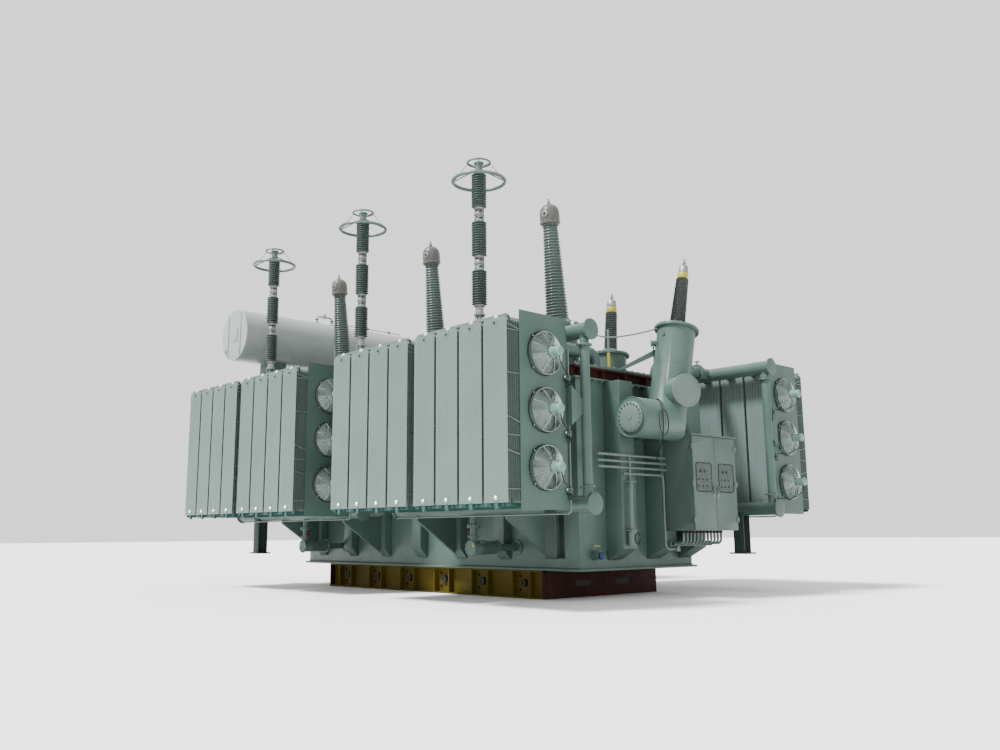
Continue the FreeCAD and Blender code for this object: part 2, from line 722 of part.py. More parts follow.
def bushing(seat, lean, foot_r, top_r, length, head_r, head):
    """Collar, insulator and metal head with its terminal, stacked along a leaning axis."""
    up = leaning(lean)
    rise = [0, COLLAR_HEIGHT, COLLAR_HEIGHT + length, COLLAR_HEIGHT + length + head]
    collar = taper(seat, seat + up * rise[1], foot_r * 1.5, foot_r * 1.05)
    insulator = taper(seat + up * rise[1], seat + up * rise[2], foot_r, top_r)
    cap = rod(seat + up * rise[2], seat + up * (rise[3] - head * 0.25), head_r)
    dome = taper(seat + up * (rise[3] - head * 0.25), seat + up * rise[3], head_r, head_r * 0.45)
    stud = rod(seat + up * rise[3], seat + up * (rise[3] + TERMINAL_LENGTH), TERMINAL_R)
    return collar, insulator, fuse([cap, dome, stud])


def phase_row(pitch, line, lean, can_r, can_height, sizes):
    """The three turrets and bushings of one voltage along the cover."""
    cans, insulators, heads = [], [], []
    for phase in (-1, 0, 1):
        foot = V(phase * pitch, line, COVER_TOP)
        collar, insulator, head = bushing(foot + leaning(lean) * can_height, lean, *sizes)
        cans.append(fuse([can(foot, lean, can_r, can_height), collar]))
        insulators.append(insulator)
        heads.append(head)
    return cans, insulators, heads


# ---- end duct ------------------------------------------------------------------------------------
def end_turret():
    """Horizontal duct mitred into a leaning turret, with its branch to the tank, cover and manhole."""
    knee = V(DUCT_X, TURRET_FOOT_Y, DUCT_Z)
    up = leaning(-TURRET_LEAN)
    bisector = (up - Y).normalize()
    across = (up + Y).normalize()
    reach = 3 * DUCT_R
    keep = Part.makeBox(2 * reach, 2 * reach, 4 * reach)
    keep = keep.translated(V(-reach, 0, -2 * reach))
    turn = math.degrees(math.atan2(across.z, across.y))
    upper_half = keep.rotated(V(0, 0, 0), X, turn).translated(knee)
    duct = rod(V(DUCT_X, DUCT_FRONT + DUCT_COVER, DUCT_Z), knee + Y * reach, DUCT_R).cut(upper_half)
    shaft = rod(knee - up * reach, knee + up * TURRET_HEIGHT, DUCT_R).common(
        keep.scaled(2).rotated(V(0, 0, 0), X, turn).translated(knee))
    top = knee + up * TURRET_HEIGHT
    flange = rod(top - up * CAN_FLANGE, top, DUCT_R + CAN_FLANGE_LIP)
    cover = rod(V(DUCT_X, DUCT_FRONT, DUCT_Z), V(DUCT_X, DUCT_FRONT + DUCT_COVER, DUCT_Z), DUCT_COVER_R)
    hub = knee + up * MANHOLE_UP
    turn_out = math.radians(MANHOLE_TURN)
    outward = V(math.cos(turn_out), -math.sin(turn_out), 0)
    manhole = rod(hub, hub + outward * MANHOLE_REACH, MANHOLE_R)
    branch = rod(V(TANK_X, BRANCH_Y, DUCT_Z), V(DUCT_X, BRANCH_Y, DUCT_Z), BRANCH_R)
    return fuse([duct, shaft, flange, cover, manhole, branch]), top


# ---- surge arresters -----------------------------------------------------------------------------
def arrester(x):
    """Stack of insulator units with metal joints on a base, and the level of the cap's top."""
    axis = V(x, ARRESTER_LINE, 0)
    z = ARRESTER_FOOT
    metal = [rod(axis + Z * z, axis + Z * (z + ARRESTER_BASE), ARRESTER_BASE_R)]
    z += ARRESTER_BASE
    units = []
    for unit in range(ARRESTER_UNITS):
        if unit:
            metal.append(rod(axis + Z * z, axis + Z * (z + ARRESTER_JOINT), ARRESTER_JOINT_R))
            z += ARRESTER_JOINT
        units.append(rod(axis + Z * z, axis + Z * (z + ARRESTER_UNIT), ARRESTER_R))
        z += ARRESTER_UNIT
    return units, metal, z + ARRESTER_CAP


def grading_rings():
    """Cap with its top at the origin and a large and a small ring round it, each on four struts."""
    pieces = []
    pieces.append(Part.makeTorus(RING_R - RING_TUBE_R, RING_TUBE_R, Z * (-ARRESTER_CAP - RING_DROP), Z))
    pieces.append(Part.makeTorus(SMALL_RING_R - SMALL_RING_TUBE_R, SMALL_RING_TUBE_R, V(0, 0, 0), Z))
    for quarter in range(4):
        turn = math.radians(45 + 90 * quarter)
        out = V(math.cos(turn), math.sin(turn), 0)
        low = Z * (-0.7 * ARRESTER_CAP) + out * (ARRESTER_JOINT_R - RING_STRUT_R)
        high = Z * (-0.3 * ARRESTER_CAP) + out * (ARRESTER_JOINT_R - RING_STRUT_R)
        pieces.append(rod(low, Z * (-ARRESTER_CAP - RING_DROP) + out * (RING_R - RING_TUBE_R), RING_STRUT_R))
        pieces.append(rod(high, out * (SMALL_RING_R - SMALL_RING_TUBE_R), RING_STRUT_R))
    cap = rod(Z * -ARRESTER_CAP, V(0, 0, 0), ARRESTER_JOINT_R)
    for piece in pieces:
        cap = cap.fuse(piece)
    return cap


def arrester_stand(x):
    """Two posts on the cover with arms that reach out over the radiators to the arrester."""
    b = STAND_BEAM
    z1 = ARRESTER_FOOT
    z0 = z1 - b
    end = ARRESTER_LINE - 2 * b
    pieces = []
    for side in (-1, 1):
        c = x + side * STAND_HALF
        pieces.append(box(c - b / 2, c + b / 2, STAND_POST_Y - b / 2, STAND_POST_Y + b / 2, COVER_TOP, z1))
        pieces.append(box(c - b / 2, c + b / 2, end, STAND_POST_Y, z0, z1))
        low = V(c - b / 4, STAND_POST_Y - b / 2, COVER_TOP + b)
        reach = STAND_POST_Y - BRACE_REACH
        brace = [low, low + Z * b, V(low.x, reach, z0), V(low.x, reach - b, z0)]
        pieces.append(prism(brace, X * b / 2))
    pieces.append(box(x - STAND_HALF, x + STAND_HALF, ARRESTER_LINE - b, ARRESTER_LINE + b, z0, z1))
    return fuse(pieces)


# ---- conservator ---------------------------------------------------------------------------------
def conservator():
    """Long horizontal oil tank across the -X end: shell and its two flat ends."""
    half = CONSERVATOR_LENGTH / 2
    start = V(CONSERVATOR_X, -half, CONSERVATOR_Z)
    end = V(CONSERVATOR_X, half, CONSERVATOR_Z)
    shell = rod(start, end, CONSERVATOR_R).cut(rod(start, end, CONSERVATOR_R - CONSERVATOR_WALL))
    front = rod(start - Y * CONSERVATOR_END, start, CONSERVATOR_R)
    manhole = rod(start - Y * (CONSERVATOR_END + DRUM_MANHOLE), start - Y * CONSERVATOR_END, DRUM_MANHOLE_R)
    plate = fuse([front, manhole])
    return shell, [plate, mirrored(plate, Y)]


def conservator_drum(y0, y1):
    """Outside of the conservator between two places along Y."""
    return rod(V(CONSERVATOR_X, y0, CONSERVATOR_Z), V(CONSERVATOR_X, y1, CONSERVATOR_Z), CONSERVATOR_R)


def conservator_beam():
    """Box beam under the conservator."""
    half = SADDLE_PLACE + SADDLE_WIDTH / 2
    b = SADDLE_BEAM
    x = CONSERVATOR_X
    return box(x - b / 2, x + b / 2, -half, half, SADDLE_BEAM_TOP - b, SADDLE_BEAM_TOP)


def conservator_saddle():
    """Block on the beam, hollowed to the conservator's shell, at the -Y end."""
    x = CONSERVATOR_X
    y0 = -SADDLE_PLACE - SADDLE_WIDTH / 2
    y1 = y0 + SADDLE_WIDTH
    block = box(x - SADDLE_THICK / 2, x + SADDLE_THICK / 2, y0, y1, SADDLE_BEAM_TOP, CONSERVATOR_Z)
    return block.cut(conservator_drum(y0 - SADDLE_WIDTH, y1 + SADDLE_WIDTH))


def conservator_bracket():
    """Gusset from the tank's end wall and cover out under the conservator beam, on the -Y side."""
    b = SADDLE_BEAM
    top = SADDLE_BEAM_TOP - b
    wall = -TANK_X
    y0 = -SADDLE_POST_Y - b / 2
    outer = CONSERVATOR_X - b / 2
    outline = [V(wall, y0, top), V(outer, y0, top), V(outer, y0, top - b), V(wall, y0, top - BRACKET_REACH)]
    bracket = prism(outline, Y * b)
    rim = box(wall - FLANGE_LIP, 0, -TANK_Y, TANK_Y, TANK_TOP - FLANGE_PLATE, COVER_TOP)
    return bracket.cut(rim)


def conservator_pipes():
    """Breather pipe bent over the top of the conservator and the small pipe along it."""
    top = CONSERVATOR_Z + CONSERVATOR_R
    drum = conservator_drum(-CONSERVATOR_LENGTH / 2, CONSERVATOR_LENGTH / 2)

    def bridge(ends, rise, radius, bend):
        low, high = [V(CONSERVATOR_X, y, top - PIPE_SINK) for y in ends]
        return pipe([low, low + Z * (rise + PIPE_SINK), high + Z * (rise + PIPE_SINK), high], radius, bend)

    hoop = bridge(BREATHER_Y, BREATHER_RISE, BREATHER_PIPE_R, BREATHER_BEND)
    small = bridge(THIN_PIPE_Y, THIN_PIPE_RISE, THIN_PIPE_R, THIN_PIPE_BEND)
    crown = V(CONSERVATOR_X, sum(BREATHER_Y) / 2, top + BREATHER_RISE)
    valve = rod(crown - Z * BREATHER_VALVE / 2, crown + Z * BREATHER_VALVE, 1.6 * BREATHER_PIPE_R)
    return [fuse([hoop, valve]).cut(drum), small.cut(drum)]


# ---- control cabinet -----------------------------------------------------------------------------
def hinge_levels():
    """Lower ends of the hinge knuckles."""
    pitch = (CABINET_HEIGHT - 2 * HINGE_INSET) / (HINGE_COUNT - 1)
    low = CABINET_FOOT + HINGE_INSET - HINGE_LENGTH / 2
    return [low + k * pitch for k in range(HINGE_COUNT)]


def hinge_axis(side):
    """Point on a door's hinge line; side -1 is the door at the cabinet's low-Y edge."""
    y = CABINET_LEFT - HINGE_OUT if side < 0 else CABINET_RIGHT + HINGE_OUT
    return V(CABINET_FRONT + DOOR_GAP + DOOR_THICK, y, 0)


def cabinet_body():
    """Open-fronted cabinet with a front frame, an overhanging sloped roof and the hinge lugs."""
    w = CABINET_WALL
    shell = box(CABINET_BACK, CABINET_FRONT, CABINET_LEFT, CABINET_RIGHT, CABINET_FOOT, CABINET_TOP)
    room = box(CABINET_BACK + w, CABINET_FRONT - w, CABINET_LEFT + w, CABINET_RIGHT - w,
               CABINET_FOOT + w, CABINET_TOP - w)
    f = CABINET_FRAME
    mouth = box(CABINET_FRONT - 2 * w, CABINET_FRONT, CABINET_LEFT + f, CABINET_RIGHT - f,
                CABINET_FOOT + f, CABINET_TOP - f)
    lip = ROOF_LIP
    front = CABINET_FRONT + DOOR_GAP + DOOR_THICK + lip
    roof = [V(CABINET_BACK, CABINET_LEFT - lip, CABINET_TOP), V(front, CABINET_LEFT - lip, CABINET_TOP),
            V(front, CABINET_LEFT - lip, CABINET_TOP + ROOF_EDGE),
            V(CABINET_BACK, CABINET_LEFT - lip, CABINET_TOP + ROOF_EDGE + ROOF_RISE)]
    pieces = [prism(roof, Y * (CABINET_WIDTH + 2 * lip))]
    for side in (-1, 1):
        axis = hinge_axis(side)
        wall = CABINET_LEFT if side < 0 else CABINET_RIGHT
        lug_end = axis.y + side * HINGE_PIN_R
        for z in hinge_levels():
            lug = box(CABINET_FRONT - 4 * HINGE_PIN_R, axis.x + HINGE_PIN_R, wall, lug_end,
                      z - 2 * HINGE_PIN_R, z)
            pin_foot = V(axis.x, axis.y, z - HINGE_PIN_R)
            pieces.append(lug)
            pieces.append(rod(pin_foot, pin_foot + Z * (HINGE_PIN_R + HINGE_LENGTH), HINGE_PIN_R))
    low = CABINET_FOOT + STAND_OFF_FOOT
    stand_offs = box(TANK_X + END_BOX_DEPTH, CABINET_BACK,
                     END_BOX_PLACES[1] - END_BOX_WIDTH / 2 + STAND_OFF_INSET,
                     END_BOX_PLACES[2] + END_BOX_WIDTH / 2, low, low + STAND_OFF_HEIGHT)
    pieces.append(stand_offs)
    pieces.append(stand_offs.translated(Z * STAND_OFF_PITCH))
    return shell.cut(room).cut(mouth).fuse(pieces).removeSplitter()


def cabinet_door(side):
    """Door leaf with a recessed window, knuckles round the hinge pins and a handle."""
    middle = (CABINET_LEFT + CABINET_RIGHT) / 2
    x0 = CABINET_FRONT + DOOR_GAP
    x1 = x0 + DOOR_THICK
    edge = CABINET_LEFT + DOOR_EDGE if side < 0 else CABINET_RIGHT - DOOR_EDGE
    meeting = middle + side * DOOR_GAP / 2
    leaf = box(x0, x1, edge, meeting, CABINET_FOOT + DOOR_EDGE, CABINET_TOP - DOOR_EDGE)
    y = meeting + side * WINDOW_OFFSET
    low = CABINET_FOOT + WINDOW_LOW
    window = box(x1 - WINDOW_RECESS, x1, y, y + side * WINDOW_WIDTH, low, low + WINDOW_HEIGHT)
    pieces = []
    axis = hinge_axis(side)
    outer = HINGE_PIN_R + KNUCKLE_WALL
    for z in hinge_levels():
        foot = z + KNUCKLE_GAP
        knuckle = rod(V(axis.x, axis.y, foot), V(axis.x, axis.y, z + HINGE_LENGTH), outer)
        strap = box(axis.x, axis.x + outer, axis.y, edge - side * HINGE_STRAP, foot, z + HINGE_LENGTH)
        pieces.append(fuse([knuckle, strap]))
    handle_y = meeting + side * HANDLE_PLACE
    handle_foot = low - HANDLE_BELOW
    pieces.append(box(x1, x1 + HANDLE_OUT, handle_y - HANDLE_WIDTH / 2, handle_y + HANDLE_WIDTH / 2,
                      handle_foot, handle_foot + HANDLE_LENGTH))
    door = leaf.cut(window).fuse(pieces)
    for z in hinge_levels():
        hole_top = V(axis.x, axis.y, z + HINGE_LENGTH + HINGE_HOLE_TOP)
        door = door.cut(rod(V(axis.x, axis.y, z), hole_top, HINGE_PIN_R + HINGE_PIN_GAP))
    return door


def conduit_line(k):
    """Place along Y of one of the conduits under the cabinet."""
    pitch = (CABINET_WIDTH - 2 * CONDUIT_INSET) / (CONDUIT_COUNT - 1)
    return CABINET_LEFT + CONDUIT_INSET + k * pitch


def cabinet_conduits():
    """Row of conduits from the cabinet's floor back to the tray on the end box columns."""
    x = CABINET_BACK + CABINET_DEPTH / 2
    z = CABINET_FOOT - CONDUIT_DROP
    end = TANK_X + END_BOX_DEPTH + TRAY_DEPTH
    pipes = []
    for k in range(CONDUIT_COUNT):
        y = conduit_line(k)
        pipes.append(pipe([V(x, y, CABINET_FOOT), V(x, y, z), V(end, y, z)], CONDUIT_R, CONDUIT_BEND))
    return pipes


def conduit_tray():
    """Cable tray along the end box columns that the cabinet's conduits run into."""
    face = TANK_X + END_BOX_DEPTH
    z = CABINET_FOOT - CONDUIT_DROP
    low, high = conduit_line(0) - TRAY_MARGIN, conduit_line(CONDUIT_COUNT - 1) + TRAY_MARGIN
    return box(face, face + TRAY_DEPTH, low, high, z - TRAY_HEIGHT / 2, z + TRAY_HEIGHT / 2)


def wall_conduits():
    """Level conduits along the end wall to the cabinet's side; the lowest turns down beside the cabinet."""
    face = TANK_X + END_BOX_DEPTH
    x = face + CLIP_RAIL + CONDUIT_R
    last = WALL_CONDUIT_COUNT - 1
    pieces = []
    for k in range(last):
        z = WALL_CONDUIT_TOP - k * WALL_CONDUIT_PITCH
        pieces.append(rod(V(x, WALL_CONDUIT_START - TANK_Y, z), V(x, CABINET_LEFT, z), CONDUIT_R))
    z = WALL_CONDUIT_TOP - last * WALL_CONDUIT_PITCH
    down = CABINET_LEFT - DOWN_CONDUIT_GAP
    box_y = END_BOX_PLACES[1] + END_BOX_WIDTH / 2 - JUNCTION_BOX
    run = [V(x, END_BOX_PLACES[0] - END_BOX_WIDTH / 2, z), V(x, down, z),
           V(x, down, DOWN_CONDUIT_FOOT), V(x, box_y, DOWN_CONDUIT_FOOT)]
    pieces.append(pipe(run, CONDUIT_R, CONDUIT_BEND))
    half = JUNCTION_BOX / 2
    pieces.append(box(face, x + half, box_y, box_y + JUNCTION_BOX,
                      DOWN_CONDUIT_FOOT - half, DOWN_CONDUIT_FOOT + half))
    low = WALL_CONDUIT_TOP - WALL_CONDUIT_COUNT * WALL_CONDUIT_PITCH
    middle = END_BOX_PLACES[0]
    half = CLIP_WIDTH / 2
    pieces.append(box(face, x, middle - half, middle + half, low, WALL_CONDUIT_TOP + CLIP_WIDTH))
    return fuse(pieces)


def wall_standpipe():
    """Upright drying breather on two bracket plates on the first end box column."""
    face = TANK_X + END_BOX_DEPTH
    foot = V(face + STANDPIPE_OUT, STANDPIPE_Y, STANDPIPE_FOOT)
    waist = foot + Z * STANDPIPE_JAR
    top = foot + Z * STANDPIPE_LENGTH
    pieces = [rod(foot, waist, STANDPIPE_JAR_R), rod(waist, top, STANDPIPE_R)]
    for z in (waist.z, top.z - STANDPIPE_PLATE):
        pieces.append(box(face, foot.x + STANDPIPE_JAR_R, foot.y - STANDPIPE_OUT, foot.y + STANDPIPE_OUT,
                          z, z + STANDPIPE_PLATE))
    return fuse(pieces)


def panel_bracket():
    """Trapezoid plate between the +X fan panel and the upright link pipe."""
    x0 = BANK_OUTER + FAN_PANEL_THICK
    x1 = LINK_X + 6
    near = -FAN_PANEL_BACK
    far = -HEADER_LINE - LINK_R
    mid = FAN_MIDDLE + 110
    outline = [V(x1 - 12, near - 20, mid - 310), V(x1 - 12, near - 20, mid + 310),
               V(x1 - 12, far + 10, mid + 110), V(x1 - 12, far + 10, mid - 110)]
    web = prism(outline, X * 12)
    foot = box(x0, x1, near - 20, near, mid - 310, mid + 310)
    link = rod(V(LINK_X, -HEADER_LINE, mid - 400), V(LINK_X, -HEADER_LINE, mid + 400), LINK_R)
    return fuse([web, foot]).cut(link)


# ---- write every node ----------------------------------------------------------------------------
def main():
    os.makedirs("parts", exist_ok=True)
    beam = skid_beam()
    save("skid_side_beams", [beam, mirrored(beam, Y)])
    save("skid_cross_beams", skid_cross_beams())
    lip = FLOOR_LIP
    save("tank_floor", [box(-TANK_X - lip, TANK_X + lip, -TANK_Y - lip, TANK_Y + lip,
                            SKID_HEIGHT, FLOOR_TOP)])
    save("tank_body", [tank_body()])
    save("tank_stiffeners", tank_stiffeners())
    save("cover_rim", [cover_rim()])
    lip = FLANGE_LIP
    save("tank_cover", [box(-TANK_X - lip, TANK_X + lip, -TANK_Y - lip, TANK_Y + lip, RIM_TOP, COVER_TOP)])

    row = bank_radiators(radiator())
    for name, flip_x, flip_y in (("front_right", 0, 0), ("front_left", 1, 0),
                                 ("rear_right", 0, 1), ("rear_left", 1, 1)):
        turned = [mirrored(piece, X) for piece in row] if flip_x else row
        turned = [mirrored(piece, Y) for piece in turned] if flip_y else turned
        save("radiators_" + name, turned)
    save("top_headers", four_ways(bank_header(HEADER_HIGH)))
    save("bottom_headers", four_ways(bank_header(HEADER_LOW)))
    save("header_link_pipes", four_ways(link_pipe()))
    save("radiator_tie_bars", tie_bars())
    save("radiator_necks", [copy for neck in radiator_necks() for copy in four_ways(neck)])
    save("bank_legs", four_ways(leg()))
    brackets = []
    for number in BRACKET_BOXES:
        brackets.extend(four_ways(header_bracket(number * SIDE_BOX_PITCH)))
    save("header_brackets", brackets)
    save("oil_pipes", four_ways(oil_pipe()))
    save("oil_pumps", four_ways(pump()))

    guards, motors, leads, panels = [], [], [], []
    guard, motor, rotor = fan_guard(), fan_motor(), fan_rotor()
    for name, qx, qy in (("front_right", 1, -1), ("front_left", -1, -1),
                         ("rear_right", 1, 1), ("rear_left", -1, 1)):
        block, lead = lead_box_and_lead(qy)
        blocks = [block.translated(centre) for centre in fan_places(qx, qy)]
        panels.append(fuse([fan_panel(qx, qy)] + blocks))
        for number, centre in enumerate(fan_places(qx, qy), 1):
            guards.append(guard.translated(centre))
            motors.append(motor.translated(centre))
            leads.append(lead.translated(centre))
            save("fan_rotor_%s_%d" % (name, number), [rotor.translated(centre)])
    save("fan_panels", panels)
    save("fan_guards", guards)
    save("fan_motors", motors)
    save("fan_leads", leads)
    save("fan_panel_brackets", [panel_bracket(), mirrored(panel_bracket(), Y)])

    hv = phase_row(PHASE_PITCH, HV_LINE, HV_LEAN, HV_CAN_R, HV_CAN_HEIGHT,
                   (HV_FOOT_R, HV_TOP_R, HV_LENGTH, HV_HEAD_R, HV_HEAD))
    mv = phase_row(MV_PITCH, MV_LINE, MV_LEAN, MV_CAN_R, MV_CAN_HEIGHT,
                   (MV_FOOT_R, MV_TOP_R, MV_LENGTH, MV_HEAD_R, MV_HEAD))
    turret, seat = end_turret()
    end = bushing(seat, -TURRET_LEAN, NB_FOOT_R, NB_TOP_R, NB_LENGTH, NB_HEAD_R, NB_HEAD)
    save("hv_turrets", hv[0])
    save("mv_turrets", mv[0])
    save("end_turret", [fuse([turret, end[0]])])
    save("hv_insulators", hv[1])
    save("mv_insulators", mv[1] + [end[1]])
    save("bushing_heads", hv[2] + mv[2] + [end[2]])

    units, metal, rings, stands = [], [], [], []
    ring_set = grading_rings()
    for phase in (-1, 0, 1):
        x = phase * PHASE_PITCH
        some_units, some_metal, top = arrester(x)
        units.extend(some_units)
        metal.extend(some_metal)
        rings.append(ring_set.translated(V(x, ARRESTER_LINE, top)))
        stands.append(arrester_stand(x))
    save("arrester_insulators", units)
    save("arrester_joints", metal)
    save("grading_rings", rings)
    save("arrester_stands", stands)

    shell, ends = conservator()
    save("conservator_shell", [shell])
    save("conservator_ends", ends)
    save("conservator_beam", [conservator_beam()])
    save("conservator_saddles", [conservator_saddle(), mirrored(conservator_saddle(), Y)])
    save("conservator_brackets", [conservator_bracket(), mirrored(conservator_bracket(), Y)])
    save("conservator_pipes", conservator_pipes())

    save("cabinet_body", [cabinet_body()])
    save("cabinet_door_left", [cabinet_door(-1)])
    save("cabinet_door_right", [cabinet_door(1)])
    save("cabinet_conduits", cabinet_conduits())
    save("conduit_tray", [conduit_tray()])
    save("wall_conduits", [wall_conduits()])
    save("wall_standpipe", [wall_standpipe()])


main()
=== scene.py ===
"""Looks of the power transformer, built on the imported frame.  Metres, +Z up, +X the cabinet end."""
import bpy
import bmesh
import math
from mathutils import Matrix, Vector


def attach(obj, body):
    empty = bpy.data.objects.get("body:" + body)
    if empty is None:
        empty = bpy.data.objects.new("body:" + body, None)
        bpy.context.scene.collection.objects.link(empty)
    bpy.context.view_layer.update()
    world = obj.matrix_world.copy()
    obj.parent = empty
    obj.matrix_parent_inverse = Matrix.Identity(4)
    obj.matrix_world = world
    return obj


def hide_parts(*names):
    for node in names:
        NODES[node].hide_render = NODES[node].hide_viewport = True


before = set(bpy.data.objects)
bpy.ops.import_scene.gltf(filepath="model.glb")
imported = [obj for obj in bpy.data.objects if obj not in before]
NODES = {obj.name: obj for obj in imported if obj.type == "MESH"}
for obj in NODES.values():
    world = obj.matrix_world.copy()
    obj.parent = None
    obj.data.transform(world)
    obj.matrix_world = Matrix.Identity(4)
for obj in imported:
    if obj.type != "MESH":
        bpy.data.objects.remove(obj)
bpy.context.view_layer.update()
MAIN = "transformer"
X, Y, UP = Vector((1, 0, 0)), Vector((0, 1, 0)), Vector((0, 0, 1))

# ---- sizes shared with the CAD source, in metres ------------------------------------------------
TANK_X, TANK_Y = 4.25, 1.6
FLOOR_TOP, TANK_TOP, COVER_TOP = 0.54, 3.86, 4.095
RIM_LIP = 0.09
FIN_W, FIN_T, FIN_PITCH, FIN_COUNT = 0.52, 0.012, 0.045, 30
FIN_LOW = 1.589
FIN_HIGH = FIN_LOW + 2.779
NECK_INSET = 0.075
NECKS = (FIN_LOW + NECK_INSET, FIN_HIGH - NECK_INSET)
BANK_DEPTH = (FIN_COUNT - 1) * FIN_PITCH + FIN_T
BANK_FRONT = -4.265
BANK_BACK = BANK_FRONT + BANK_DEPTH
RADIATOR_PITCH = 0.5689
BATCH = 3 * RADIATOR_PITCH + FIN_W
BATCH_STEP = BATCH + 0.1882
BANK_INNER = 0.656
BANK_OUTER = BANK_INNER + BATCH_STEP + BATCH
HEADER_Y, HEADER_LOW, HEADER_HIGH, HEADER_R = -2.665, 1.589, 4.34, 0.13
HEADER_START, HEADER_END = BANK_INNER - 0.06, BANK_OUTER + 0.28
LINK_X = HEADER_END - 0.158
OIL_PIPE_X = 4.1
FAN_Y, FAN_Z, FAN_PITCH = 3.49, 2.996, 0.877
PANEL_THICK = 0.008
RIGHT_PANEL, LEFT_PANEL = BANK_OUTER + PANEL_THICK, PANEL_THICK - BANK_INNER
FAN_RING_R, NOSE, MOTOR_LENGTH = 0.34, 0.18, 0.2
PHASES = (-3.536, 0.0, 3.536)
HV_Y, HV_LEAN = -1.19, 4.5
MV_PHASES = (-3.0, 0.0, 3.0)
MV_Y, MV_LEAN = 0.82, -4.5
ARRESTER_Y, ARRESTER_FOOT = -3.215, 4.68
ARRESTER_BASE, ARRESTER_UNIT, ARRESTER_JOINT = 0.33, 0.62, 0.26
DUCT_X, DUCT_Z, DUCT_FRONT, DUCT_R = 4.995, 3.115, -1.06, 0.35
KNEE = Vector((DUCT_X, -0.025, DUCT_Z))
TURRET_LEAN, TURRET_LENGTH = -14.0, 1.8
SKID_X, SKID_Y = 3.38, 1.485
DRUM_X, DRUM_Z, DRUM_R, DRUM_HALF = -4.95, 5.82, 0.615, 3.4
CAB_X0, CAB_X1, CAB_Y0, CAB_Y1, CAB_Z0, CAB_Z1 = 4.64, 5.23, 0.33, 1.695, 1.174, 2.874
DOOR_FACE = CAB_X1 + 0.034
STANDPIPE_X, STANDPIPE_Y = 4.715, -0.75
RADIATORS = [BANK_INNER + b * BATCH_STEP + k * RADIATOR_PITCH for b in range(2) for k in range(4)]
QUARTERS = (("front_right", 1, -1), ("front_left", -1, -1), ("rear_right", 1, 1), ("rear_left", -1, 1))

# ---- camera -------------------------------------------------------------------------------------
CAMERA_AT = (15.249, -13.7755, 1.1538)
CAMERA_YAW, CAMERA_PITCH, CAMERA_ROLL = 47.606, 10.605, -0.358
CAMERA_LENS = 33.887
CAMERA_SHIFT = (0.0145, -0.0181)


def make_camera():
    """Camera fitted to the photograph: place, turn, lens and shift."""
    yaw, pitch, roll = (math.radians(turn) for turn in (CAMERA_YAW, CAMERA_PITCH, CAMERA_ROLL))
    ahead = Vector((-math.sin(yaw) * math.cos(pitch), math.cos(yaw) * math.cos(pitch), math.sin(pitch)))
    level = ahead.cross(UP).normalized()
    upright = level.cross(ahead)
    right = level * math.cos(roll) + upright * math.sin(roll)
    up = upright * math.cos(roll) - level * math.sin(roll)
    data = bpy.data.cameras.new("camera")
    data.sensor_width = 36
    data.lens = CAMERA_LENS
    data.shift_x, data.shift_y = CAMERA_SHIFT
    data.clip_start, data.clip_end = 0.1, 400
    camera = bpy.data.objects.new("camera", data)
    turned = Matrix((right, up, -ahead)).transposed().to_4x4()
    camera.matrix_world = Matrix.Translation(CAMERA_AT) @ turned
    bpy.context.scene.collection.objects.link(camera)
    bpy.context.scene.camera = camera


make_camera()


